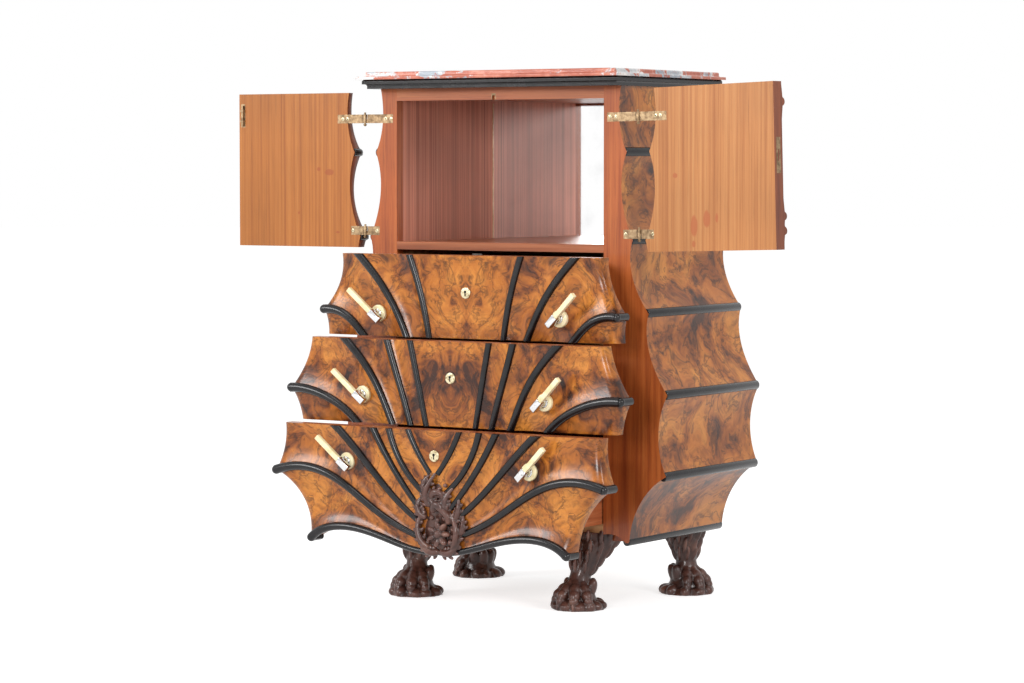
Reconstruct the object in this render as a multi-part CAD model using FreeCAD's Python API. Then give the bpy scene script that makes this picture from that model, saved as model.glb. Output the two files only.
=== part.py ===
"""A bombe chest: a mirrored compartment with two doors over three drawers, on four paw feet.

Millimetres, +Z up, +X to the right of someone facing the chest. The origin is on the floor, on the
centre line. The chest is drawn with its doors folded right back and its drawers part way out.
Depths below are counted from the face of the carcass: out of it is minus, into it is plus.
"""
import FreeCAD, Part
import math
import os

V = FreeCAD.Vector

# ---------------------------------------------------------------- driving dimensions
# place of the carcass face behind the origin
face_y = -55.0

# carcass
carcass_depth = 382.0
side_top = 1064.0
side_foot = 140.0
stile_depth = 22.0
opening_half = 255.0
rail_height = 25.0
rail_bottom = side_top - rail_height
shelf_top = 743.5
shelf_thickness = 16.5
lining_thickness = 8.0
back_thickness = 10.0
mirror_thickness = 4.0
top_board_thickness = 19.0
dust_board_thickness = 16.0
bottom_board_top = 175.0
bottom_board_thickness = 18.0
guide_height = 32.0

# heights of the two joints between the drawer fronts
joint_one = 549.0
joint_two = 372.2

# ridges and hollows of the bombe line: reach from the centre line, height from the floor
top_reach = 296.0
upper_ridge, upper_ridge_z = 309.0, side_top - 133.0
hinge_ridge, hinge_ridge_z = 323.5, shelf_top + 9.5
first_ridge, first_ridge_z = 361.0, joint_one + 57.0
second_ridge, second_ridge_z = 405.0, joint_two + 70.8
third_ridge, third_ridge_z = 402.0, 279.0
foot_ridge, foot_ridge_z = 317.0, side_foot + 3.5
# each hollow, from the top down, by two places on it: how far it lies behind the straight line between
# its ridges, and its share of the way down
hollows = [((9.6, 0.316), (9.0, 0.767)), ((17.6, 0.354), (15.2, 0.702)), ((16.5, 0.279), (16.3, 0.687)),
           ((16.4, 0.27), (18.7, 0.583)), ((17.9, 0.354), (14.8, 0.738)), ((18.3, 0.185), (22.9, 0.531))]

# black beads
side_bead_radius = 7.5
ray_bead_radius = 6.5

# cornice and marble
cornice_height = 19.0
cornice_reach = 314.0
cornice_front = 44.0
cornice_foot_inset = 8.0
cornice_width = 34.0
marble_lip = 6.0
marble_thickness = 16.0
marble_reach = 323.0
marble_front = 60.0
marble_step = 17.0

# doors
door_bottom = shelf_top - 13.7
door_top = side_top - 6.6
door_thickness = 27.0
door_gap = 1.5
door_seat = 0.3
hinge_reach = 337.0
left_hinge_lean = 0.0
right_hinge_lean = 0.85
left_open_angle = 180.0
right_open_angle = 172.5

# strap hinges
upper_hinge_z = side_top - 62.0
lower_hinge_z = shelf_top + 22.0
strap_width = 18.5
strap_thickness = 2.0
upper_strap_length = 72.0
lower_strap_length = 37.0
knuckle_radius = 4.6
pin_radius = 2.2
pin_length = 27.0
pin_ball_radius = 4.2
pin_clearance = 0.3
screw_radius = 2.6
screw_length = 11.0

# door fastenings
bolt_plate_width, bolt_plate_height = 11.0, 50.0
bolt_plate_thickness = 1.5
bolt_x = 11.5
bolt_plate_z = rail_bottom - 53.0
bolt_width, bolt_depth, bolt_length = 5.0, 4.0, 44.0
bolt_lift = 9.0
keeper_width, keeper_height = 10.0, 13.0
lock_z = side_top - 150.0
lock_height = 66.0
lock_case_depth = 38.0
lock_case_thickness = 10.0
lock_bolt_height, lock_bolt_thickness, lock_bolt_length = 22.0, 4.0, 18.0
lock_throw = 6.0

# drawers
front_thickness = 29.0
front_seat = 2.0
box_half = 252.0
box_wall = 12.0
box_depth = 350.0
box_floor = 8.0
box_floor_rise = 10.0
box_headroom = 14.0
front_gap = 3.0
top_front_gap = 6.5
hem_drop = 20.0
runner_clearance = 0.3
bead_proud = 12.0
pull_reach = 222.0
rose_radius = 18.0
rose_thickness = 4.0
bar_width = 9.0
bar_length = 95.0
bar_angle = 43.5
bar_stand = 55.0
bar_tilt = 8.0
ferrule_width = 12.0
ferrule_share = 0.30
post_radius = 4.5
key_plate_radius = 11.5
key_plate_thickness = 2.0
drawer_lock_width = 64.0
drawer_lock_thickness = 9.0
drawer_bolt_width, drawer_bolt_thickness = 24.0, 4.0
drawer_bolt_throw = 8.0
drawer_bolt_length = 30.0
mortise_clearance = 1.0
bolt_clearance = 0.3

# feet
foot_height = bottom_board_top - bottom_board_thickness
front_foot_x, front_foot_y = 201.0, -8.0
front_knee_x, front_knee_y = 226.0, 44.0
back_foot_x, back_foot_y = 250.0, 330.0
back_knee_x, back_knee_y = 236.0, 322.0
ankle_radius = 21.0
paw_radius = 55.0
foot_flats = 16


# ---------------------------------------------------------------- small helpers
def block(x0, x1, y0, y1, z0, z1):
    """A box between two corners."""
    return Part.makeBox(x1 - x0, y1 - y0, z1 - z0, V(x0, y0, z0))


def rod(radius, length, base, axis):
    return Part.makeCylinder(radius, length, base, axis)


def mirrored(shape):
    """The same piece for the other hand of the chest."""
    return shape.mirror(V(0, 0, 0), V(1, 0, 0))


def curve(points):
    """One smooth edge in the XZ plane through the given (x, z) points."""
    line = Part.BSplineCurve()
    line.interpolate([V(x, 0, z) for x, z in points])
    return line.toShape()


def straight(a, b):
    return Part.LineSegment(V(a[0], 0, a[1]), V(b[0], 0, b[1])).toShape()


def board(edges, y0, y1):
    """A closed run of edges in the XZ plane, cut out of a board that fills y0 to y1."""
    face = Part.Face(Part.Wire(Part.__sortEdges__(edges)))
    solid = face.extrude(V(0, y1 - y0, 0))
    solid.translate(V(0, y0, 0))
    return solid


def group(shapes):
    return Part.makeCompound(list(shapes))


def save(name, shape):
    shape.translated(V(0, face_y, 0)).exportStep(os.path.join("parts", name + ".step"))


# ---------------------------------------------------------------- the bombe line
def bombe_bays():
    """The points of each hollow bay, from the top down: its upper ridge, two places on it, its lower ridge."""
    ends = [(top_reach, side_top)] + ridges()
    bays = []
    for upper, lower, places in zip(ends, ends[1:], hollows):
        inner = [(between(upper, lower, share)[0] - inset, between(upper, lower, share)[1])
                 for inset, share in places]
        bays.append([upper] + inner + [lower])
    return bays


def between(a, b, share):
    return (a[0] + (b[0] - a[0]) * share, a[1] + (b[1] - a[1]) * share)


def bombe_side(inner, y0, y1, z0, z1):
    """The right half of the bombe outline, filled from x = inner outwards, between two heights."""
    bays = bombe_bays()
    top, foot = bays[0][0], bays[-1][-1]
    low = (foot[0] - 3, side_foot)
    edges = [curve(bay) for bay in bays]
    edges += [straight(foot, low), straight(low, (inner, low[1])),
              straight((inner, low[1]), (inner, top[1])), straight((inner, top[1]), top)]
    solid = board(edges, y0, y1)
    return solid.common(block(inner - 1, 2 * second_ridge, y0 - 1, y1 + 1, z0, z1))


def ridges():
    return [(upper_ridge, upper_ridge_z), (hinge_ridge, hinge_ridge_z), (first_ridge, first_ridge_z),
            (second_ridge, second_ridge_z), (third_ridge, third_ridge_z), (foot_ridge, foot_ridge_z)]


def side_beads():
    """Round black beads that run from front to back along the ridges of the right side."""
    reach_in = side_bead_radius * 0.8
    return [rod(side_bead_radius, carcass_depth, V(x - reach_in, 0, z), V(0, 1, 0)) for x, z in ridges()]


# ---------------------------------------------------------------- hinges
def leaned(shape, lean):
    """Leans a right-hand hinge piece about the middle height of its two hinges."""
    middle = (upper_hinge_z + lower_hinge_z) / 2
    turned = shape.copy()
    turned.rotate(V(hinge_reach, 0, middle), V(0, 1, 0), -lean)
    return turned


def strap(z, length, on_door):
    """A flat strap let in flush, with half of the knuckle at its end, on the right-hand side."""
    low = z - strap_width / 2
    near, far = (-door_seat - strap_thickness, -door_seat) if on_door else (0.0, strap_thickness)
    half = strap_width / 2 - pin_clearance / 2
    knuckle_low = z + pin_clearance / 2 if on_door else low
    plate = block(hinge_reach - length, hinge_reach - knuckle_radius - 1.5, near, far, low, low + strap_width)
    link = block(hinge_reach - knuckle_radius - 2, hinge_reach, near, far, knuckle_low, knuckle_low + half)
    knuckle = rod(knuckle_radius, half, V(hinge_reach, 0, knuckle_low), V(0, 0, 1))
    bore = pin_radius + (pin_clearance if on_door else 0)
    hole = rod(bore, half + 2, V(hinge_reach, 0, knuckle_low - 1), V(0, 0, 1))
    return plate.fuse([link, knuckle]).removeSplitter().cut(hole)


def screw(x, z, on_door):
    """A countersunk screw in a strap. It goes back into the stile, or forward into the door."""
    if on_door:
        return rod(screw_radius, screw_length, V(x, -door_seat, z), V(0, -1, 0))
    return rod(screw_radius, screw_length, V(x, 0, z), V(0, 1, 0))


def hinge_set(on_door, lean):
    """The straps and screws of one leaf side of the right-hand hinges."""
    inset = 8.0
    spacing = 12.0
    spots = [(upper_hinge_z, upper_strap_length, 2), (lower_hinge_z, lower_strap_length, 1)]
    straps, screws = [], []
    for z, length, count in spots:
        drilled = strap(z, length, on_door)
        for number in range(count):
            one = screw(hinge_reach - length + inset + number * spacing, z, on_door)
            drilled = drilled.cut(one)
            screws.append(leaned(one, lean))
        straps.append(leaned(drilled, lean))
    return straps, screws


def hinge_pins(lean):
    """Pins with a turned knob below the knuckle, held by the strap on the carcass."""
    pins = []
    for z in (upper_hinge_z, lower_hinge_z):
        foot = z - strap_width / 2 - pin_ball_radius
        shaft = rod(pin_radius, pin_length, V(hinge_reach, 0, foot), V(0, 0, 1))
        knob = Part.makeCone(pin_ball_radius * 0.5, pin_ball_radius, pin_ball_radius,
                             V(hinge_reach, 0, foot - pin_ball_radius * 0.5), V(0, 0, 1))
        pins.append(leaned(shaft.fuse(knob).removeSplitter(), lean))
    return pins


def opened(shape, lean, angle):
    """Swings a right-hand door piece from shut to its open place about its hinge axis."""
    middle = (upper_hinge_z + lower_hinge_z) / 2
    tilt = math.radians(lean)
    axis = V(-math.sin(tilt), 0, math.cos(tilt))
    turned = shape.copy()
    turned.rotate(V(hinge_reach, 0, middle), axis, angle)
    return turned


# ---------------------------------------------------------------- beads on doors and fronts
def bead_along(points, radius, near, far):
    """A flat-backed bead that bends along a line of (x, z) points, from depth near to depth far."""
    left, right = [], []
    for number, (x, z) in enumerate(points):
        before = points[max(number - 1, 0)]
        after = points[min(number + 1, len(points) - 1)]
        run = math.hypot(after[0] - before[0], after[1] - before[1])
        across = ((after[1] - before[1]) / run * radius, -(after[0] - before[0]) / run * radius)
        left.append((x - across[0], z - across[1]))
        right.append((x + across[0], z + across[1]))
    edges = [curve(left), straight(left[-1], right[-1]), curve(right), straight(right[0], left[0])]
    return board(edges, near, far)


def ring_bead(centre_z, across, tall, radius, near, far):
    """A bead bent to an oval that is wider than it is tall."""
    ring = []
    for grow in (radius, -radius):
        oval = Part.Ellipse(V(across + grow, 0, centre_z), V(0, 0, centre_z + tall + grow), V(0, 0, centre_z))
        ring.append(Part.Face(Part.Wire([oval.toShape()])).extrude(V(0, far - near, 0)))
    bead = ring[0].cut(ring[1])
    bead.translate(V(0, near - min(bead.BoundBox.YMin, bead.BoundBox.YMax), 0))
    return bead


# ---------------------------------------------------------------- carcass
def build_carcass():
    inner = opening_half + lining_thickness
    back = carcass_depth - back_thickness
    side = bombe_side(inner, stile_depth, carcass_depth, side_foot, side_top)
    stile = bombe_side(opening_half, 0, stile_depth, side_foot, side_top)
    bracket_rise, bracket_run = 14.0, 46.0
    bracket = board([
        curve([(foot_ridge - 8, side_foot - 1), (foot_ridge - bracket_run / 2, side_foot + bracket_rise * 0.72),
               (opening_half - 1, side_foot + bracket_rise)]),
        straight((opening_half - 1, side_foot + bracket_rise), (opening_half - 1, side_foot - 1)),
        straight((opening_half - 1, side_foot - 1), (foot_ridge - 8, side_foot - 1)),
    ], -1, stile_depth + 1)
    beads = side_beads()
    side = side.cut(beads)
    stile = stile.cut(beads + [bracket])

    straps_r, screws_r = hinge_set(False, right_hinge_lean)
    straps_l, screws_l = hinge_set(False, left_hinge_lean)
    save("right_side", side)
    save("left_side", mirrored(side))
    save("right_stile", stile.cut(straps_r + screws_r))
    save("left_stile", mirrored(stile.cut(straps_l + screws_l)))
    right_beads = [bead.cut(straps_r) for bead in beads]
    left_beads = [mirrored(bead.cut(straps_l)) for bead in beads]
    save("side_beads", group(right_beads + left_beads))
    leaves = straps_r + screws_r + [mirrored(s) for s in straps_l + screws_l]
    save("carcass_hinge_straps", group(leaves))
    pins = hinge_pins(right_hinge_lean) + [mirrored(p) for p in hinge_pins(left_hinge_lean)]
    save("hinge_pins", group(pins))

    rail = block(-opening_half, opening_half, 0, stile_depth, rail_bottom, side_top)
    keeper = block(-bolt_x - keeper_width / 2, -bolt_x + keeper_width / 2, 0, 1.5,
                   rail_bottom, rail_bottom + keeper_height)
    bolt_room = bolt_width / 2 + mortise_clearance
    bolt_hole = block(-bolt_x - bolt_room, -bolt_x + bolt_room, 0, bolt_depth + 2 * mortise_clearance,
                      rail_bottom, rail_bottom + bolt_lift)
    save("top_rail", rail.cut([keeper, bolt_hole]))
    save("door_strike", keeper.cut(bolt_hole))

    board_low = side_top - top_board_thickness
    save("carcass_top", block(-inner, inner, stile_depth, back, board_low, side_top))

    shelf = block(-inner, inner, stile_depth, back, shelf_top - shelf_thickness, shelf_top)
    lip = block(-opening_half, opening_half, 0, stile_depth, shelf_top - shelf_thickness, shelf_top)
    shelf = shelf.fuse(lip).removeSplitter()
    save("shelf", shelf.cut(bolt_mortise(shelf_top - shelf_thickness)))

    lining = block(opening_half, inner, stile_depth, back, shelf_top, board_low)
    save("right_lining", lining)
    save("left_lining", mirrored(lining))
    save("mirror", block(-opening_half, opening_half, back - mirror_thickness, back, shelf_top, board_low))
    save("back_board", block(-inner, inner, back, carcass_depth, side_foot, side_top))

    for name, middle in (("upper_dust_board", joint_one), ("lower_dust_board", joint_two)):
        low, high = middle - dust_board_thickness / 2, middle + dust_board_thickness / 2
        dust = block(-inner, inner, stile_depth, back, low, high)
        dust = dust.fuse(block(-opening_half, opening_half, 0, stile_depth, low, high)).removeSplitter()
        save(name, dust.cut(bolt_mortise(low)))
    floor_low = bottom_board_top - bottom_board_thickness
    floor_board = block(-inner, inner, stile_depth, back, floor_low, bottom_board_top)
    floor_board = floor_board.fuse(
        block(-opening_half, opening_half, 0, stile_depth, floor_low, bottom_board_top)).removeSplitter()
    save("bottom_board", floor_board)

    guides = []
    for low in (joint_one + half_dust, joint_two + half_dust, bottom_board_top):
        guide = block(opening_half, inner, stile_depth, back, low, low + guide_height)
        guides += [guide, mirrored(guide)]
    save("drawer_guides", group(guides))


def bolt_mortise(underside):
    """The slot in the board above a drawer that its lock bolt shoots into."""
    reach = drawer_bolt_width / 2 + mortise_clearance
    return block(-reach, reach, bolt_near - mortise_clearance, bolt_far + mortise_clearance,
                 underside - 1, underside + drawer_bolt_throw)


def build_cornice():
    """A mitred frame, open at the back, under a slab whose edge is stepped and rounded."""
    low, high = side_top, side_top + cornice_height
    half_height = cornice_height / 2
    inset = cornice_foot_inset
    lower = block(-cornice_reach + inset, cornice_reach - inset, -cornice_front + inset, carcass_depth,
                  low, low + half_height)
    upper = block(-cornice_reach, cornice_reach, -cornice_front, carcass_depth, low + half_height, high)
    solid = lower.fuse(upper)
    cove = [e for e in solid.Edges if abs(e.BoundBox.ZMin - low - half_height) < 0.01
            and abs(e.BoundBox.ZMax - low - half_height) < 0.01
            and outside(e, cornice_reach - inset, -cornice_front + inset)]
    solid = solid.makeFillet(inset * 0.55, cove)
    nose = [e for e in solid.Edges if abs(e.BoundBox.ZMin - high) < 0.01
            and outside(e, cornice_reach, -cornice_front)]
    solid = solid.makeFillet(half_height * 0.45, nose)
    inside = block(-cornice_reach + cornice_width, cornice_reach - cornice_width,
                   -cornice_front + cornice_width + stile_depth, carcass_depth + 1, low - 1, high + 1)
    save("cornice", solid.cut(inside))

    low, high = high, high + marble_thickness
    lip = block(-marble_reach, marble_reach, -marble_front, carcass_depth, low, low + marble_lip)
    upper = block(-marble_reach + marble_step, marble_reach - marble_step, -marble_front + marble_step,
                  carcass_depth, low + marble_lip, high)
    slab = lip.fuse(upper)
    cove = [e for e in slab.Edges if abs(e.BoundBox.ZMin - low - marble_lip) < 0.01
            and abs(e.BoundBox.ZMax - low - marble_lip) < 0.01
            and outside(e, marble_reach - marble_step, -marble_front + marble_step)]
    slab = slab.makeFillet((marble_thickness - marble_lip) * 0.45, cove)
    top = [e for e in slab.Edges if abs(e.BoundBox.ZMin - high) < 0.01
           and outside(e, marble_reach - marble_step, -marble_front + marble_step)]
    slab = slab.makeFillet((marble_thickness - marble_lip) * 0.4, top)
    rim = [e for e in slab.Edges if abs(e.BoundBox.ZMin - low - marble_lip) < 0.01
           and abs(e.BoundBox.ZMax - low - marble_lip) < 0.01 and outside(e, marble_reach, -marble_front)]
    slab = slab.makeFillet(marble_lip * 0.35, rim)
    save("marble_top", slab)


def outside(edge, reach, front):
    """True where a whole edge lies on the front line or on one of the two end lines of a slab."""
    box = edge.BoundBox
    on_front = abs(box.YMin - front) < 0.01 and abs(box.YMax - front) < 0.01
    on_end = abs(abs(box.XMin) - reach) < 0.01 and abs(box.XMax - box.XMin) < 0.01
    return on_front or on_end


# ---------------------------------------------------------------- feet
def paw_foot(knee, paw, top_radii):
    """A leg that swells to a knee under the carcass, thins to an ankle and spreads to a paw."""
    stations = [
        (1.00, knee, top_radii),
        (0.78, between(knee, paw, 0.25), (top_radii[0] * 0.92, top_radii[1] * 0.92)),
        (0.42, between(knee, paw, 0.85), (ankle_radius, ankle_radius)),
        (0.30, paw, (ankle_radius * 1.45, ankle_radius * 1.35)),
        (0.14, paw, (paw_radius * 0.88, paw_radius * 0.86)),
        (0.00, paw, (paw_radius, paw_radius * 0.95)),
    ]
    rings = []
    for share, (x, y), (wide, deep) in stations:
        corners = []
        for number in range(foot_flats + 1):
            turn = 2 * math.pi * (number + 0.5) / foot_flats
            corners.append(V(x + wide * math.cos(turn), y + deep * math.sin(turn), foot_height * share))
        rings.append(Part.makePolygon(corners))
    return Part.makeLoft(rings, True, True)


def build_feet():
    """Each knee is notched on its outer side, where the side board comes down past it."""
    side_zone = block(opening_half, 2 * second_ridge, -carcass_depth, 2 * carcass_depth,
                      side_foot, foot_height + 1)
    front = paw_foot((front_knee_x, front_knee_y), (front_foot_x, front_foot_y), (46.0, 41.0)).cut(side_zone)
    back = paw_foot((back_knee_x, back_knee_y), (back_foot_x, back_foot_y), (44.0, 44.0)).cut(side_zone)
    save("front_right_foot", front)
    save("front_left_foot", mirrored(front))
    save("back_right_foot", back)
    save("back_left_foot", mirrored(back))


# ---------------------------------------------------------------- doors
def door_panel():
    """The right door, shut: flat inside, scalloped on its hinge edge, straight where the doors meet."""
    return bombe_side(door_gap / 2, -door_seat - door_thickness, -door_seat, door_bottom, door_top)


def door_rays():
    """The beads of the right door, shut. They carry on from the beads of the drawer below."""
    arch_foot, arch_top = 133.0, 766.0
    low = door_bottom
    return [
        [(276.0, low), (297.0, 741.0), (hinge_ridge - ray_bead_radius, hinge_ridge_z)],
        [(143.0, low), (176.0, 802.0), (232.0, 881.0), (upper_ridge - ray_bead_radius, upper_ridge_z)],
        [(door_gap / 2, arch_top), (70.0, 757.0), (arch_foot, low)],
    ]


def build_door(name, lean, angle, hand):
    """One door with its beads, leaf straps and fastening. hand is 1 for the right, -1 for the left."""
    straps, screws = hinge_set(True, lean)
    panel = door_panel().cut(straps + screws)
    face = -door_seat - door_thickness
    proud = face - bead_proud
    zone = block(door_gap / 2, 2 * second_ridge, proud - 1, 0, door_bottom, door_top)
    beads = [bead_along(ray, ray_bead_radius, proud, face) for ray in door_rays()]
    beads.append(ring_bead(lock_z - 7.5, 122.0, 111.5, ray_bead_radius, proud, face))
    beads = [solid for bead in beads for solid in bead.common(zone).Solids]

    def place(shape):
        moved = opened(shape, lean, angle)
        return moved if hand > 0 else mirrored(moved)

    if hand > 0:
        lock, bolt, pocket = door_lock()
        panel = panel.cut(pocket)
        save("door_lock", place(lock))
        save("door_lock_bolt", place(bolt))
    else:
        plate, bolt, pocket = flush_bolt()
        panel = panel.cut(pocket)
        save("bolt_plate", place(plate))
        save("flush_bolt", place(bolt))
    save(name, place(panel))
    save(name + "_beads", place(group(beads)))
    save(name + "_hinges", place(group(straps + screws)))


def door_lock():
    """A mortise lock in the edge of the right door. Its bolt shoots into the other door."""
    edge = door_gap / 2
    middle_y = -door_seat - door_thickness / 2
    near, far = middle_y - lock_case_thickness / 2, middle_y + lock_case_thickness / 2
    low = lock_z - lock_height / 2
    plate = block(edge, edge + 2, near - 2, far + 2, low - 2, low + lock_height + 2)
    case = block(edge + 2, edge + lock_case_depth, near, far, low, low + lock_height)
    keyhole_x = edge + lock_case_depth * 0.5
    pin = rod(2.2, 22.0, V(keyhole_x, near, lock_z), V(0, -1, 0))
    pocket = plate.fuse([case, pin]).removeSplitter()
    thin, tall = lock_bolt_thickness / 2, lock_bolt_height / 2
    slot = block(edge - 1, edge + lock_bolt_length + mortise_clearance, middle_y - thin - bolt_clearance,
                 middle_y + thin + bolt_clearance, lock_z - tall - bolt_clearance, lock_z + tall + bolt_clearance)
    bolt = block(edge + bolt_clearance, edge + lock_bolt_length, middle_y - thin, middle_y + thin,
                 lock_z - tall, lock_z + tall)
    return pocket.cut(slot), bolt, pocket


def flush_bolt():
    """The plate and bolt near the top of the left door, drawn as if that door were a right-hand one."""
    left = bolt_x - bolt_plate_width / 2
    plate = block(left, left + bolt_plate_width, -door_seat - bolt_plate_thickness, -door_seat,
                  bolt_plate_z, bolt_plate_z + bolt_plate_height)
    bolt_left = bolt_x - bolt_width / 2
    bolt_low = bolt_plate_z + 3.0
    bolt_near = 0.2
    bolt = block(bolt_left, bolt_left + bolt_width, bolt_near, bolt_near + bolt_depth,
                 bolt_low, bolt_low + bolt_length)
    staple_height, staple_wall, clear = 5.0, 1.2, 0.3
    staples = []
    for z in (bolt_low + 8, bolt_low + bolt_length - 14):
        outer = block(bolt_left - clear - staple_wall, bolt_left + bolt_width + clear + staple_wall,
                      -door_seat, bolt_near + bolt_depth + clear + staple_wall, z, z + staple_height)
        inner = block(bolt_left - clear, bolt_left + bolt_width + clear, -door_seat,
                      bolt_near + bolt_depth + clear, z - 1, z + staple_height + 1)
        staples.append(outer.cut(inner))
    lock_slot = block(0, lock_throw + 3.0, -door_seat - door_thickness / 2 - lock_bolt_thickness / 2 - 0.5,
                      -door_seat - door_thickness / 2 + lock_bolt_thickness / 2 + 0.5,
                      lock_z - lock_bolt_height / 2 - 1, lock_z + lock_bolt_height / 2 + 1)
    return plate.fuse(staples), bolt, [plate, lock_slot]


# ---------------------------------------------------------------- drawers
bolt_near = 1.5
bolt_far = bolt_near + drawer_bolt_thickness
half_gap = front_gap / 2
half_dust = dust_board_thickness / 2

# out is how far the drawer is pulled out. base is the height that its beads are counted from.
drawers = [
    dict(name="drawer_1", out=81.0, drop=3.0, base=joint_one, pull_z=joint_one + 48.0, key_z=joint_one + 95.0,
         top=shelf_top - shelf_thickness - top_front_gap, foot=joint_one + half_gap,
         floor=joint_one + half_dust, roof=shelf_top - shelf_thickness),
    dict(name="drawer_2", out=137.0, drop=3.0, base=joint_two, pull_z=joint_two + 59.8,
         key_z=joint_two + 100.8, top=joint_one - half_gap, foot=joint_two + half_gap,
         floor=joint_two + half_dust, roof=joint_one - half_dust),
    dict(name="drawer_3", out=193.0, drop=7.0, base=side_foot, pull_z=joint_two - 74.2, key_z=joint_two - 52.7,
         top=joint_two - half_gap, foot=side_foot - hem_drop,
         floor=bottom_board_top, roof=joint_two - half_dust),
]

# the acanthus on the lowest front: each boss has its place (x, up), half width, half height, rise and
# the share of its size left at its top. They are its oval ground, its flower and its rising leaf.
acanthus = [(12, 36, 50, 58, 20, 0.8), (18, 26, 24, 24.5, 34, 0.6), (8, 98, 26, 50, 16, 0.7)]

# the arched hem of the lowest front, counted as its beads are
hem_points = [(65, -14.5), (112, -2.5), (176, 14.5), (240, 18.5), (279, 11)]

# beads of each front, right half, from the foot upwards: across from the centre line, up from the base
rays = {
    "drawer_1": [
        [(92, 4), (104, 69), (117, 116), (138, 173)],
        [(149, 2), (171, 52), (197, 94), (233, 138), (268, 173)],
        [(248, -4), (267, 14), (293, 38), (327, 53), (352, 53)],
    ],
    "drawer_2": [
        [(60, 0), (79, 94), (97, 177)],
        [(99, 0), (113, 49), (131, 104), (154, 177)],
        [(143, -1), (162, 42), (187, 90), (225, 140), (264, 178)],
        [(232, 0), (263, 28), (314, 54), (360, 66), (396, 68)],
    ],
    "drawer_3": [
        [(9, 144), (40, 188), (63, 235)],
        [(21, 100), (81, 164), (108, 235)],
        [(40, 76), (96, 145), (150, 235)],
        [(34, 43), (112, 103), (176, 167), (252, 235)],
        [(44, 15), (112, 43), (192, 91), (272, 133), (341, 145), (393, 133)],
        [(30, -13), (65, -8), (112, 4), (176, 21), (240, 25), (279, 18), (309, 0)],
    ],
}


def drawer_front(spec):
    """A thick front whose two ends follow the bombe line, hung a little low as an old drawer is."""
    y0, y1 = -front_seat - front_thickness, -front_seat
    half = bombe_side(-1.0, y0, y1, side_foot, side_top)
    half.translate(V(0, 0, -spec["drop"]))
    half = half.common(block(0, 2 * second_ridge, y0 - 1, y1 + 1, spec["foot"], spec["top"]))
    if spec["name"] == "drawer_3":
        tip_x, tip_z = foot_ridge - 3, side_foot - spec["drop"]
        hem = [(0, spec["foot"])] + [(x, spec["base"] + rise) for x, rise in hem_points] + [(tip_x, tip_z)]
        below = 60.0
        skirt = board([curve(hem), straight((tip_x, tip_z), (tip_x, below)), straight((tip_x, below), (0, below)),
                       straight((0, below), (0, spec["foot"]))], y0 - 1, y1 + 1)
        half = half.fuse(block(0, tip_x - 1, y0, y1, spec["foot"], tip_z + 20)).cut(skirt).removeSplitter()
    return half.fuse(mirrored(half)).removeSplitter()


def build_drawer(spec):
    name = spec["name"]
    out = V(0, -spec["out"], 0)
    front = drawer_front(spec)
    face = -front_seat - front_thickness
    proud = face - bead_proud
    zone = block(0, 2 * second_ridge, proud - 1, 0, spec["foot"], spec["top"])
    beads = []
    for ray in rays[name]:
        points = [(x, spec["base"] + rise) for x, rise in ray]
        beads += bead_along(points, ray_bead_radius, proud, face).common(zone).Solids
    beads += [mirrored(bead) for bead in beads]
    if name == "drawer_3":
        boss, ground = rosette(face)
        beads = [solid for bead in beads for solid in bead.cut(ground).Solids]
        save("rosette", boss.translated(out))

    wall = box_wall
    y0, y1 = -front_seat, -front_seat + box_depth
    box_low = spec["floor"] + runner_clearance
    box_high = spec["roof"] - box_headroom
    side = block(box_half - wall, box_half, y0, y1, box_low, box_high)
    inside = box_half - wall
    floor_low = box_low + box_floor_rise
    floor_high = floor_low + box_floor
    back = block(-inside, inside, y1 - wall, y1, floor_high, box_high - 6)
    floor_board = block(-inside, inside, y0, y1, floor_low, floor_high)
    box = [side, mirrored(side), back, floor_board]

    roses, bars, ferrules = [], [], []
    for hand in (1, -1):
        rose, bar, ferrule = pull(spec["pull_z"])
        if hand < 0:
            rose, bar, ferrule = mirrored(rose), mirrored(bar), mirrored(ferrule)
        roses.append(rose)
        bars.append(bar)
        ferrules.append(ferrule)

    key_plate = rod(key_plate_radius, key_plate_thickness, V(0, face, spec["key_z"]), V(0, -1, 0))
    slit = block(-1.2, 1.2, face - key_plate_thickness - 1, face + 1, spec["key_z"] - 5, spec["key_z"] + 4)
    bolt_top = spec["roof"] - 3.5
    case_low = spec["key_z"] - 16
    case_high = bolt_top - 4
    half_lock = drawer_lock_width / 2
    case = block(-half_lock, half_lock, -front_seat, -front_seat + drawer_lock_thickness, case_low, case_high)
    half_bolt = drawer_bolt_width / 2
    bolt_foot = bolt_top - drawer_bolt_length
    slot = block(-half_bolt - bolt_clearance, half_bolt + bolt_clearance, bolt_near - bolt_clearance,
                 bolt_far + bolt_clearance, bolt_foot - bolt_clearance, case_high + 1)
    bolt = block(-half_bolt, half_bolt, bolt_near, bolt_far, bolt_foot, bolt_top)
    lock = [key_plate.cut(slit), case.cut(slot)]

    save(name + "_front", front.translated(out))
    save(name + "_beads", group(beads).translated(out))
    save(name + "_box", group(box).translated(out))
    save(name + "_pulls", group(roses + bars).translated(out))
    save(name + "_ferrules", group(ferrules).translated(out))
    save(name + "_lock", group(lock).translated(out))
    save(name + "_bolt", bolt.translated(out))


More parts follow.
